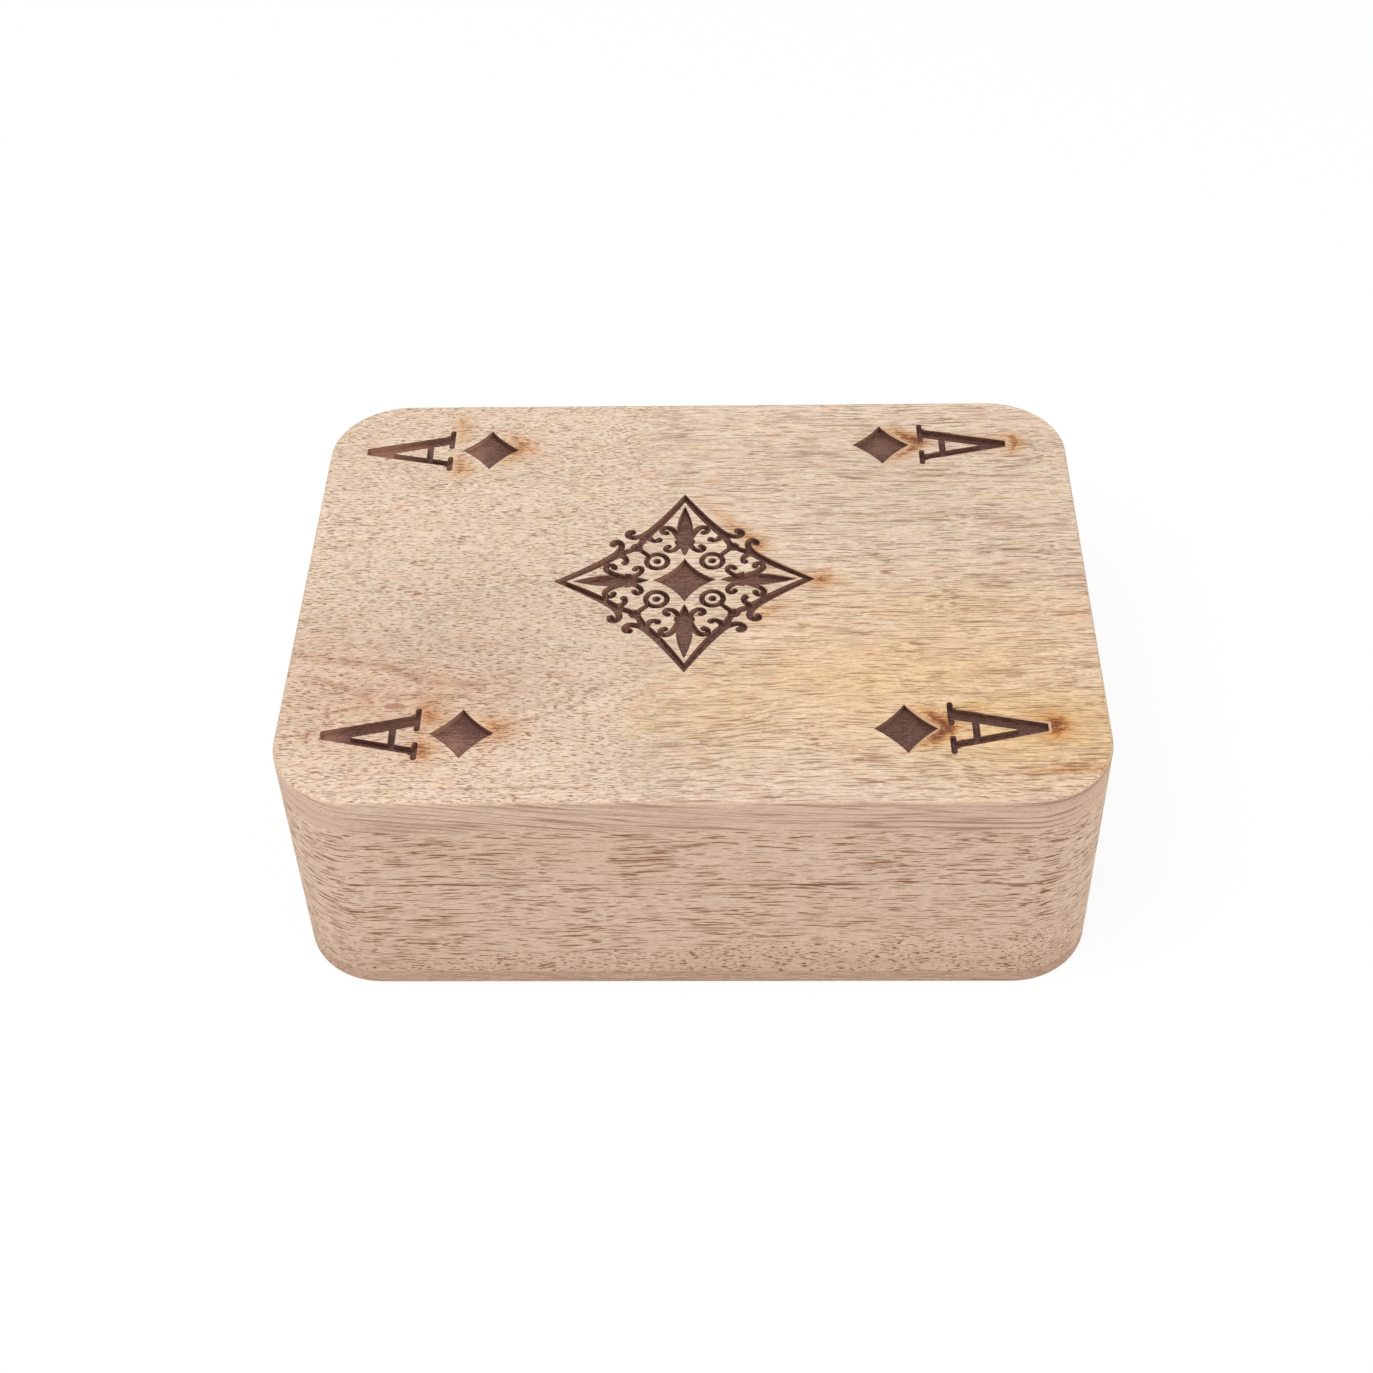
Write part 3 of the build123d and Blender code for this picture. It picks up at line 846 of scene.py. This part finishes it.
# Smoke trails beside the engraving, and three resin streaks: start and end in millimetres, and the
# reach and the strength at the start and at the end
SMOKE_TRAILS = [
    ((41.8, -33.4), (45.6, -37.2), (2.8, 4.6), (0.4, 1.1)),
    ((45.8, -37.8), (46.6, -39.0), (3.8, 3.2), (1.15, 1.1)),
    ((41.8, -42.8), (45.6, -39.6), (3.0, 4.0), (0.5, 1.15)),
    ((46.4, -38.3), (47.6, -38.3), (2.4, 2.2), (1.2, 0.95)),
    ((47.6, -38.4), (50.2, -38.6), (2.4, 1.6), (0.7, 0.2)),
    ((51.3, -33.2), (53.2, -33.6), (3.6, 3.6), (0.4, 0.35)),
    ((59.5, -34.9), (64.6, -36.2), (2.2, 3.4), (0.1, 0.5)),
    ((65.7, -36.8), (66.0, -38.0), (4.4, 5.6), (0.85, 1.25)),
    ((66.0, -38.0), (65.7, -39.6), (5.6, 4.4), (1.25, 0.85)),
    ((66.2, -38.0), (68.8, -38.3), (7.0, 5.0), (0.6, 0.3)),
    ((58.0, -49.5), (66.0, -49.1), (1.0, 1.8), (0.25, 0.5)),
    ((66.0, -49.1), (73.5, -48.8), (1.8, 2.0), (0.5, 0.4)),
    ((64.5, -47.6), (74.0, -47.3), (0.8, 1.0), (0.4, 0.35)),
    ((41.0, 47.0), (45.2, 43.4), (3.0, 4.4), (0.6, 1.1)),
    ((45.4, 43.0), (46.2, 42.2), (3.0, 2.4), (1.0, 0.9)),
    ((40.6, 37.6), (44.8, 41.2), (3.0, 3.4), (0.45, 0.8)),
    ((62.6, 45.4), (65.2, 44.6), (2.4, 3.2), (0.25, 0.7)),
    ((65.2, 44.6), (66.2, 42.8), (3.2, 3.6), (0.7, 0.75)),
    ((66.2, 42.8), (65.0, 40.4), (3.6, 3.4), (0.75, 0.55)),
    ((-37.6, -35.4), (-35.4, -38.2), (4.4, 6.2), (0.3, 0.66)),
    ((-35.4, -38.2), (-37.4, -41.4), (6.2, 4.6), (0.66, 0.25)),
    ((-48.9, -41.4), (-48.7, -43.4), (3.4, 5.2), (0.45, 0.85)),
    ((-48.7, -43.4), (-48.0, -45.6), (5.2, 4.8), (0.85, 0.45)),
    ((-48.6, -32.4), (-48.0, -35.2), (4.4, 6.0), (0.45, 0.65)),
    ((-48.0, -35.2), (-48.2, -37.6), (6.0, 4.2), (0.65, 0.3)),
    ((-38.6, 46.0), (-36.2, 42.8), (4.2, 6.2), (0.35, 0.66)),
    ((-36.2, 42.2), (-38.8, 38.2), (6.2, 4.4), (0.7, 0.4)),
    ((-49.2, 50.4), (-49.0, 45.0), (4.4, 4.0), (0.5, 0.35)),
    ((-49.2, 39.4), (-48.4, 35.2), (3.6, 5.4), (0.35, 0.6)),
    ((1.6, 25.4), (8.6, 15.6), (2.8, 4.0), (0.2, 0.55)),
    ((8.8, 15.8), (12.6, 11.6), (4.6, 5.0), (0.55, 0.75)),
    ((23.6, 1.3), (25.2, 1.6), (4.2, 5.0), (0.75, 0.7)),
    ((25.2, 1.6), (28.6, 1.7), (5.0, 3.0), (0.55, 0.15)),
    ((12.6, -8.8), (16.4, -6.4), (4.8, 3.8), (0.5, 0.4)),
]
# Places where the engraving is burnt less and more, laid out as the patches above
PALE_BURNS = [
    ((-65.0, 41.6), (14.0, 6.0), 0.9),
    ((-66.5, -39.4), (6.0, 4.0), 0.8),
    ((-47.4, 41.0), (6.0, 8.0), 0.8),
    ((-43.8, -42.2), (6.0, 6.5), 0.7),
    ((38.0, 42.4), (5.0, 5.0), 0.4),
]
DARK_BURNS = [
    ((-39.6, -36.4), (6.2, 5.2), 0.9),
    ((-38.8, 42.0), (6.5, 6.5), 0.8),
    ((-55.0, -40.0), (12.0, 9.0), 0.8),
]
# How far the patches reach down into the timber
patch_depth = 40.0


def patches_mask(wire, place, patches, waver):
    """Strongest of several soft patches in the lid's timber."""
    mask = 0.0
    for (x, y), (reach_x, reach_y), strength in patches:
        spot = wire.group(patch_group, {
            "Vector": place,
            "Centre": (x, y, lid_top / MM),
            "Reach": (reach_x, reach_y, patch_depth),
            "Waver": waver,
        })
        mask = wire.math("MAXIMUM", mask, wire.times(spot["Mask"], strength))
    return mask


def trails_mask(wire, place, trails, waver):
    """Strongest of several trails, on the lid's top alone."""
    top = lid_top / MM
    mask = 0.0
    for start, end, reaches, strengths in trails:
        trail = wire.group(trail_group, {
            "Vector": place,
            "Start": (*start, top),
            "End": (*end, top),
            "Start Reach": reaches[0],
            "End Reach": reaches[1],
            "Start Strength": strengths[0],
            "End Strength": strengths[1],
            "Waver": waver,
        })
        mask = wire.math("MAXIMUM", mask, trail["Mask"])
    return mask


# Lid timber: how its edges differ from its faces, where its dots give way to flecks, and the noises
# and spans of its stains, in the flecked timber's terms
face_span = (0.4, 0.9)
edge_flecks = 0.06
more_on_face = 0.69
edge_growth = 0.72
less_on_face = -0.52
edge_golden = 0.45
more_golden = 0.55
lid_dot_span = (20.0, -35.0)
lid_deep = shade(215, 190, 165)
lid_edge_deep = shade(230, 204, 180)
edge_tint = shade(255, 245, 242)
hue_stretch = (0.16, 0.3, 0.3)
rosier_span = (0.5, 0.75)
yellower_span = (0.5, 0.25)
rosier_tint = shade(255, 246, 240)
yellower_tint = shade(253, 251, 240)
patch_waver_stretch = (0.03, 0.1, 0.1)
patch_waver = 0.5
golden_tint = shade(254, 239, 200)
rosy_tint = shade(248, 235, 228)
dull_tint = shade(239, 238, 237)
fine_stretch = (0.5, 1.2, 1.2)
knot_place = (-54.6, -32.6, 52.0)
knot_reach = (3.1, 1.15, 6.0)
knot_fade = (0.1, 0.4, 0.0, 0.75)
knot_brown = shade(166, 113, 86)
bend_stretch = (0.05, 0.02, 0.02)
bend_sway = (0.0, 3.0, 0.0)
spell_stretch = (0.25, 1.6, 1.6)
spell_fade = (0.35, 0.6, 0.2, 1.0)
figure_tint = shade(202, 164, 138)
smoke_waver = 0.25
speckle_stretch = (1.0, 2.8, 2.8)
speckle_fade = (0.3, 0.7, 0.6, 1.3)
thin_smoke_span = (0.0, 0.6)
thin_smoke_tint = shade(234, 194, 142)
thick_smoke_fade = (0.32, 1.0, 0.0, 0.92)
thick_smoke_brown = shade(112, 47, 26)


def patched(wire, place, face, colour):
    """Lid timber's colour with a faint change of hue, its golden and rosy patches, and broad darker
    patches.
    """
    hue = wire.noise(place, hue_stretch)
    for span, tint in ((rosier_span, rosier_tint), (yellower_span, yellower_tint)):
        colour = wire.tint(wire.times(wire.ease(hue, *span), face), colour, tint)
    waver = wire.times(wire.swing(place, patch_waver_stretch), patch_waver)
    golden = patches_mask(wire, place, GOLDEN_PATCHES, waver)
    golden = wire.times(golden, wire.scaled(face, more_golden, edge_golden))
    colour = wire.tint(golden, colour, golden_tint)
    for patches, tint in ((ROSY_PATCHES, rosy_tint), (DULL_PATCHES, dull_tint)):
        colour = wire.tint(patches_mask(wire, place, patches, waver), colour, tint)
    return colour


def figured(wire, place, colour):
    """Lid timber's colour with the darker lines of its figure, bent and broken."""
    bent = wire.vector("ADD", place, wire.sway(place, bend_stretch, bend_sway))
    figure = trails_mask(wire, bent, FIGURE_LINES, 0.0)
    spells = wire.noise(place, spell_stretch, roughness=0.6)
    return wire.tint(wire.times(figure, wire.ease(spells, *spell_fade)), colour, figure_tint)


def smoked(wire, place, waver, colour):
    """Lid timber's colour with smoke stains, golden where they are thin and red-brown where thick."""
    smoke = trails_mask(wire, place, SMOKE_TRAILS, wire.times(waver, smoke_waver))
    speckle = wire.noise(place, speckle_stretch, roughness=0.7)
    smoke = wire.times(smoke, wire.ease(speckle, *speckle_fade))
    colour = wire.tint(wire.ease(smoke, *thin_smoke_span, smooth=False), colour, thin_smoke_tint)
    return wire.blend(wire.ease(smoke, *thick_smoke_fade), colour, thick_smoke_brown)


def lid_timber():
    """Lid panel: flecks on its faces and long growth lines on its edges, with soft patches, lines of
    figure, a small knot and smoke stains."""
    material, wire, place = new_finish("lid panel timber")
    normal = wire.node("ShaderNodeTexCoord").outputs["Normal"]
    face = wire.ease(wire.math("ABSOLUTE", wire.parts(normal)[2]), *face_span)
    made = wire.group(timber_group, {
        **LID_TIMBER,
        "Vector": place,
        "Fleck Strength": wire.scaled(face, more_on_face, edge_flecks),
        "Deep Colour": wire.blend(face, lid_edge_deep, lid_deep),
        "Ring Share": face,
        "Growth Strength": wire.scaled(face, less_on_face, edge_growth),
        "Dot Share": wire.ease(wire.parts(place)[0], *lid_dot_span),
    })
    edge_colour = wire.tint(1.0, made["Colour"], edge_tint)
    colour = wire.blend(face, edge_colour, made["Colour"])
    colour = patched(wire, place, face, colour)
    waver = wire.swing(place, fine_stretch)
    knot = wire.group(patch_group, {
        "Vector": place, "Centre": knot_place, "Reach": knot_reach, "Waver": waver,
    })["Mask"]
    colour = wire.blend(wire.ease(knot, *knot_fade), colour, knot_brown)
    colour = figured(wire, place, colour)
    close_timber(wire, smoked(wire, place, waver, colour), made)
    return material


# Wall timber: where its flecks shorten to dots, how its inside differs, and its painted shade at the
# seam and the foot
seam_height = (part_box("base_front_wall")[1].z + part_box("lid_front_rail")[0].z) / 2 / MM
corner_stretch = 1.5
dot_line_slope = -0.07
dot_heights = (18.0, 4.0)
dot_spread_stretch = (0.04, 0.05, 0.1)
wall_dot_span = (0.8, 1.25)
outer_skin = (0.5, 0.1)
inside_flecks = 0.5
more_outside = 0.45
# Painted shade along the seam: how far it reaches, its spells, its strength and its brown
seam_fade = (0.4, 0.1)
seam_spell_stretch = (0.06, 0.0, 0.0)
seam_spell_span = (0.42, 0.6)
seam_strength = 0.75
seam_shade_brown = shade(126, 76, 44)
# Painted shade at the foot of the walls: heights where it fades in, and its tint
foot_shade_heights = (13.0, 5.0)
foot_shade_tint = shade(244, 242, 238)


def wall_timber(name, swapped):
    """Wall boards: flecks follow the board round the corner, shorten near the foot and are
    fainter on the rims and inside. Painted shade darkens the seam in spells and the foot a little."""
    material, wire, place = new_finish(name)
    straight = (half_width - corner_radius) / MM
    inset = (half_depth - corner_radius) / MM
    if swapped:
        place = turned(wire, place)
        straight, inset = inset, straight
    outer = corner_radius / MM
    wrapped = wire.group(wrap_group, {
        "Vector": place, "Straight": straight, "Inset": inset, "Corner Run": corner_stretch * outer,
    })
    along, _, height = wire.parts(wrapped["Vector"])
    low = wire.ease(wire.scaled(along, dot_line_slope, height), *dot_heights)
    spread = wire.noise(wrapped["Vector"], dot_spread_stretch)
    outside = wire.ease(wrapped["Depth"], outer - outer_skin[0], outer - outer_skin[1])
    made = wire.group(timber_group, {
        **WALL_TIMBER,
        "Vector": wrapped["Vector"],
        "Fleck Strength": wire.scaled(outside, more_outside, inside_flecks),
        "Dot Share": wire.ease(wire.math("ADD", low, spread), *wall_dot_span),
    })
    # Painted shade: a brown line along the seam between lid and base, in spells
    to_seam = wire.math("ABSOLUTE", wire.math("SUBTRACT", height, seam_height))
    spells = wire.ease(wire.noise(wrapped["Vector"], seam_spell_stretch), *seam_spell_span)
    seam_shade = wire.times(wire.ease(to_seam, *seam_fade), wire.times(spells, outside))
    colour = wire.blend(wire.times(seam_shade, seam_strength), made["Colour"], seam_shade_brown)
    # Painted shade: the walls darken a little towards the floor
    foot = wire.times(wire.ease(height, *foot_shade_heights), outside)
    close_timber(wire, wire.tint(foot, colour, foot_shade_tint), made)
    return material


def plain_timber(name, values, across):
    """Flat board whose grain runs along X, or along Y if it lies across the box."""
    material, wire, place = new_finish(name)
    if across:
        place = turned(wire, place)
    made = wire.group(timber_group, {**values, "Vector": place})
    close_timber(wire, made["Colour"], made)
    return material


# Burnt timber: how its bottom darkens to the right, its specks, and how its sides are charred, toasted,
# bleached or given painted light by which way they face and by how far along the lid they lie
burn_patch_stretch = (0.05, 0.08, 0.0)
burn_per_mm = 0.006
burn_span = (0.25, 0.85)
burn_strength = 0.6
burn_brown = shade(72, 42, 32)
burn_edge_stretch = (0.3, 0.4, 0.0)
pale_burn = shade(156, 112, 92)
dark_burn = shade(84, 50, 40)
speck_stretch = (2.0, 2.6, 0.0)
pale_speck_fade = (0.5, 0.75, 0.0, 0.4)
dark_speck_fade = (0.5, 0.28, 0.0, 0.6)
pale_speck = shade(150, 112, 100)
dark_speck = shade(52, 29, 23)
char_fade = (0.5, -0.5, 0.05, 0.75)
char_along = (0.0, 35.0, 1.0, 0.55)
char_brown = shade(60, 32, 23)
# Painted light on left-hand sides: span of facing, fade along the lid, and the lighter colour
painted_light_span = (0.0, 0.6)
painted_light_along = (-10.0, 35.0, 0.7, 0.25)
painted_light_side = shade(176, 130, 108)
pale_side = shade(176, 130, 104)
bleach_along = (0.0, 32.0)
bleach_span = (0.1, -0.4)
gap_start_fade = (0.3, -0.3)
gap_end_fade = (-0.5, 0.5)
toast_depths = (0.22, 0.1)
toasted_rim = shade(116, 76, 58)
bleached_rim = shade(254, 205, 162)


def burnt_floor():
    """Bottom of the engraving: browner to the left and nearly black-brown to the right, with places
    that are burnt less and more, and specks all over."""
    material, wire, place = new_finish("burnt engraving floor")
    made = wire.group(timber_group, {**BURNT_TIMBER, "Vector": place})
    patchy = wire.noise(place, burn_patch_stretch)
    burn = wire.ease(wire.scaled(wire.parts(place)[0], burn_per_mm, patchy), *burn_span)
    colour = wire.blend(wire.times(burn, burn_strength), made["Colour"], burn_brown)
    spread = wire.swing(place, burn_edge_stretch)
    for burns, tone in ((PALE_BURNS, pale_burn), (DARK_BURNS, dark_burn)):
        colour = wire.blend(patches_mask(wire, place, burns, spread), colour, tone)
    specks = wire.noise(place, speck_stretch, roughness=0.7)
    for fade, tone in ((pale_speck_fade, pale_speck), (dark_speck_fade, dark_speck)):
        colour = wire.blend(wire.ease(specks, *fade), colour, tone)
    close_timber(wire, colour, made)
    return material


def burnt_wall():
    """Side of the engraving. Smoke was drawn to the right, so right-hand sides are charred most,
    and toward the right end of the lid their rims are bleached. Left-hand sides, which the lamps leave
    in shade, get painted light, and the places that are burnt less stay lighter."""
    material, wire, place = new_finish("burnt engraving wall")
    made = wire.group(timber_group, {**BURNT_TIMBER, "Vector": place})
    x, _, height = wire.parts(place)
    facing = wire.parts(wire.node("ShaderNodeTexCoord").outputs["Normal"])[0]
    char = wire.times(wire.ease(facing, *char_fade), wire.ease(x, *char_along))
    colour = wire.blend(char, made["Colour"], char_brown)
    # Painted light: left-hand sides, which face away from the key lamp, are made lighter in colour
    painted_light = wire.times(wire.ease(facing, *painted_light_span), wire.ease(x, *painted_light_along))
    colour = wire.blend(painted_light, colour, painted_light_side)
    colour = wire.blend(patches_mask(wire, place, PALE_BURNS, 0.0), colour, pale_side)
    bleach = wire.times(wire.ease(x, *bleach_along), wire.ease(facing, *bleach_span))
    gap_start, gap_end = lee_gap
    before_gap = wire.ease(x, gap_start + gap_start_fade[0], gap_start + gap_start_fade[1])
    past_gap = wire.ease(x, gap_end + gap_end_fade[0], gap_end + gap_end_fade[1])
    bleach = wire.times(bleach, wire.math("MAXIMUM", before_gap, past_gap))
    toasted = wire.blend(bleach, toasted_rim, bleached_rim)
    rim = lid_top / MM
    toast = wire.ease(height, rim - toast_depths[0], rim - toast_depths[1])
    close_timber(wire, wire.blend(toast, colour, toasted), made)
    return material


# Fittings: bright and dull colour, roughness, and depth of the scratches
HINGE_BRASS = (shade(214, 187, 134), shade(154, 125, 84), 0.3, 0.01 * MM)
SCREW_BRASS = (shade(208, 181, 130), shade(150, 121, 82), 0.34, 0.01 * MM)
MAGNET_NICKEL = (shade(214, 210, 204), shade(160, 156, 150), 0.22, 0.005 * MM)


def metal(name, bright, dull, roughness, relief):
    """Brass or nickel fitting."""
    material, wire, place = new_finish(name)
    made = wire.group(metal_group, {
        "Vector": place, "Bright Colour": bright, "Dull Colour": dull, "Roughness": roughness,
    })
    close_finish(wire, made["Colour"], made["Roughness"], made["Height"], relief, metallic=1.0)
    return material


# Lid panel with its engraving, and the places of its finishes

TIMBER, WALL, FLOOR = range(3)
sharp_angle = math.radians(30)


def is_top(face):
    """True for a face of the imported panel's flat top, or of a recess sunk in it."""
    x, y, z = face.calc_center_median()
    inside = abs(x) < half_width - top_margin and abs(y) < half_depth - top_margin
    return z > lid_top - weld_distance or (inside and z > panel_low.z + top_margin)


def rim_loop(shape):
    """Corners round the hole that is left where the flat top was."""
    edge = next(edge for edge in shape.edges if edge.is_boundary)
    first = edge.verts[0]
    corner = edge.verts[1]
    loop = [first]
    while corner is not first:
        loop.append(corner)
        edge = next(other for other in corner.link_edges if other.is_boundary and other is not edge)
        corner = edge.other_vert(corner)
    return [(vertex.co.x / MM, vertex.co.y / MM) for vertex in loop]


def anticlockwise(outline):
    """The outline, reversed if it runs clockwise."""
    area = sum(a[0] * b[1] - b[0] * a[1] for a, b in zip(outline, outline[1:] + outline[:1]))
    return outline if area > 0 else outline[::-1]


def cut_plan(rim, outlines):
    """Triangles over the lid's top: their corners, and which of them are engraved."""
    points = []
    faces = []
    for outline in [rim] + outlines:
        faces.append(list(range(len(points), len(points) + len(outline))))
        points += [Vector(point) for point in anticlockwise(outline)]
    corners, _, triangles, _, _, sources = delaunay_2d_cdt(points, [], faces, 1, cdt_tolerance)
    engraved = [any(source > 0 for source in found) for found in sources]
    return corners, triangles, engraved


def wall_edges(triangles, engraved):
    """Directed edges with engraving on their left and the plain top on their right."""
    carved = set()
    plain = set()
    for triangle, is_engraved in zip(triangles, engraved):
        for here, there in zip(triangle, triangle[1:] + triangle[:1]):
            (carved if is_engraved else plain).add((here, there))
    return [(here, there) for here, there in carved if (there, here) in plain]


def inward_directions(corners, edges):
    """For each corner on an engraved outline, the way that leads into the engraving."""
    total = {}
    for here, there in edges:
        run = (corners[there] - corners[here]).normalized()
        inward = Vector((-run.y, run.x))
        for corner in (here, there):
            total[corner] = total.get(corner, Vector((0, 0))) + inward
    return {corner: direction.normalized() for corner, direction in total.items()}


class EngravedTop:
    """Corners of the engraved top, made as they are first called for."""

    def __init__(self, shape, corners, inward):
        self.shape = shape
        self.corners = corners
        self.inward = inward
        self.made = {}

    def corner(self, index, slope_width, depth):
        key = (index, depth)
        if key not in self.made:
            flat = self.corners[index] + self.inward.get(index, Vector((0, 0))) * slope_width
            place = (flat.x * MM, flat.y * MM, lid_top - depth * MM)
            self.made[key] = self.shape.verts.new(place)
        return self.made[key]

    def top(self, index):
        """Corner on the flat top, set back where smoke has bleached the right-hand side. The feet
        and the bars of the letters keep their rims."""
        x = self.corners[index].x
        lee = max(0.0, -self.inward.get(index, Vector((0, 0))).x)
        share = 0.0 if lee_gap[0] < x < lee_gap[1] else (x - lee_start) / (lee_full - lee_start)
        return self.corner(index, -lee_slope_width * lee * min(max(share, 0.0), 1.0), 0)

    def slope(self, index):
        return self.corner(index, rim_slope_width, rim_slope_depth)

    def floor(self, index):
        return self.corner(index, rim_slope_width + wall_slope_width, engraving_depth)


def new_piece(name, data):
    """Object in the scene that holds a mesh, a lamp or a camera."""
    piece = bpy.data.objects.new(name, data)
    bpy.context.scene.collection.objects.link(piece)
    return piece


def engraved_lid_panel(timber, wall, floor):
    """The lid panel with the engraving sunk into its flat top."""
    shape = bmesh.new()
    shape.from_mesh(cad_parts["lid_panel"].data)
    bmesh.ops.remove_doubles(shape, verts=shape.verts, dist=weld_distance)
    bmesh.ops.delete(shape, geom=[face for face in shape.faces if is_top(face)], context="FACES")
    for face in shape.faces:
        face.material_index = TIMBER
    corners, triangles, engraved = cut_plan(rim_loop(shape), engraving_outlines())
    edges = wall_edges(triangles, engraved)
    top = EngravedTop(shape, corners, inward_directions(corners, edges))
    for triangle, is_engraved in zip(triangles, engraved):
        level = top.floor if is_engraved else top.top
        face = shape.faces.new([level(corner) for corner in triangle])
        face.material_index = FLOOR if is_engraved else TIMBER
    for here, there in edges:
        for high, low in ((top.top, top.slope), (top.slope, top.floor)):
            face = shape.faces.new([high(here), high(there), low(there), low(here)])
            face.material_index = WALL
    bmesh.ops.remove_doubles(shape, verts=shape.verts, dist=weld_distance)
    shape.normal_update()
    for face in shape.faces:
        face.smooth = True
    for edge in shape.edges:
        same_finish = len({face.material_index for face in edge.link_faces}) == 1
        edge.smooth = same_finish and edge.is_manifold and edge.calc_face_angle() < sharp_angle
    mesh = bpy.data.meshes.new("engraved_lid_panel")
    shape.to_mesh(mesh)
    shape.free()
    for material in (timber, wall, floor):
        mesh.materials.append(material)
    return new_piece("engraved_lid_panel", mesh)


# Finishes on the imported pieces

def dress(nodes, material):
    """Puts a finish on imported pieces."""
    for node in nodes:
        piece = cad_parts[node]
        for slot in piece.material_slots:
            slot.material = material


def dress_box():
    """Every piece of the box but the lid panel."""
    long_boards = wall_timber("long wall timber", False)
    short_boards = wall_timber("short wall timber", True)
    dress(["base_front_wall", "base_back_wall", "lid_front_rail", "lid_back_rail"], long_boards)
    dress(["base_left_wall", "base_right_wall", "lid_left_rail", "lid_right_rail"], short_boards)
    dress(["bottom_panel"], plain_timber("bottom panel timber", BOTTOM_TIMBER, False))
    dress(["card_divider"], plain_timber("divider timber", WALL_TIMBER, True))
    brass = metal("hinge brass", *HINGE_BRASS)
    screw = metal("screw brass", *SCREW_BRASS)
    nickel = metal("magnet nickel", *MAGNET_NICKEL)
    dress(["base_hinge_screws", "lid_hinge_screws"], screw)
    for side in ("left", "right"):
        dress([f"{side}_hinge_base_leaf", f"{side}_hinge_lid_leaf", f"{side}_hinge_pin"], brass)
        dress([f"{side}_base_magnet", f"{side}_lid_magnet"], nickel)


# Studio

WHITE = (1, 1, 1, 1)


def seen_directly(wire):
    """1 where a ray shows the background, straight or in a reflection, and 0 where it lights."""
    rays = wire.node("ShaderNodeLightPath").outputs
    seen = wire.math("MAXIMUM", rays["Is Camera Ray"], rays["Is Glossy Ray"])
    return wire.math("MAXIMUM", seen, rays["Is Transmission Ray"])


def mix_surfaces(wire, share, first, second):
    made = wire.node("ShaderNodeMixShader")
    wire.feed(made.inputs[0], share)
    wire.feed(made.inputs[1], first)
    wire.feed(made.inputs[2], second)
    return made.outputs["Shader"]


def studio_floor():
    """Pale floor that shows white and keeps the box's soft shadow."""
    material = bpy.data.materials.new("studio floor")
    wire = cleared(material)
    seen = seen_directly(wire)
    paint_colour = wire.blend(seen, floor_bounce, WHITE)
    paint = wire.node("ShaderNodeBsdfDiffuse", {"Color": paint_colour}).outputs["BSDF"]
    glow = wire.node("ShaderNodeEmission", {"Color": WHITE, "Strength": 1.0}).outputs["Emission"]
    distance = wire.vector("LENGTH", wire.node("ShaderNodeTexCoord").outputs["Object"])
    share = wire.ease(distance, glow_start, glow_full, near_glow_share, 1.0)
    share = wire.times(seen, share)
    output = wire.node("ShaderNodeOutputMaterial")
    wire.feed(output.inputs["Surface"], mix_surfaces(wire, share, paint, glow))
    size = floor_half_size
    mesh = bpy.data.meshes.new("studio_floor")
    corners = [(-size, -size, 0), (size, -size, 0), (size, size, 0), (-size, size, 0)]
    mesh.from_pydata(corners, [], [(0, 1, 2, 3)])
    mesh.materials.append(material)
    floor = new_piece("studio_floor", mesh)


def studio_world():
    """Even light from all round, with a white background."""
    world = bpy.data.worlds.new("studio")
    bpy.context.scene.world = world
    wire = cleared(world)
    light = wire.node("ShaderNodeBackground", {"Color": WHITE, "Strength": ambient_level})
    white = wire.node("ShaderNodeBackground", {"Color": WHITE, "Strength": 1.0})
    first = light.outputs["Background"]
    second = white.outputs["Background"]
    output = wire.node("ShaderNodeOutputWorld")
    wire.feed(output.inputs["Surface"], mix_surfaces(wire, seen_directly(wire), first, second))


def aimed_piece(name, data, place, target, roll=0.0):
    """Lamp or camera that looks from a place at a target, rolled about its line of sight."""
    piece = new_piece(name, data)
    piece.location = place
    piece.rotation_mode = "QUATERNION"
    aim = (target - place).to_track_quat("-Z", "Y")
    piece.rotation_quaternion = aim @ Quaternion((0, 0, 1), -roll)
    return piece


def softbox(name, place, size, level):
    """Square lamp aimed at the box, as bright there as its level says."""
    lamp = bpy.data.lights.new(name, "AREA")
    lamp.size = size
    lamp.energy = level * math.pi ** 2 * place.length_squared
    aimed_piece(name, lamp, place, Vector(ORIGIN))


def photograph_camera():
    """Camera at the photograph's viewpoint."""
    data = bpy.data.cameras.new("camera")
    data.sensor_width = camera_sensor
    data.lens = camera_lens
    bpy.context.scene.camera = aimed_piece("camera", data, camera_place, camera_target, camera_roll)


bpy.context.scene.view_settings.view_transform = "Standard"
photograph_camera()
studio_floor()
studio_world()
softbox("key light", key_place, key_size, key_level)
softbox("fill light", fill_place, fill_size, fill_level)

dress_box()
lid_panel = engraved_lid_panel(lid_timber(), burnt_wall(), burnt_floor())
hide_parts("lid_panel")
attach(lid_panel, "lid")
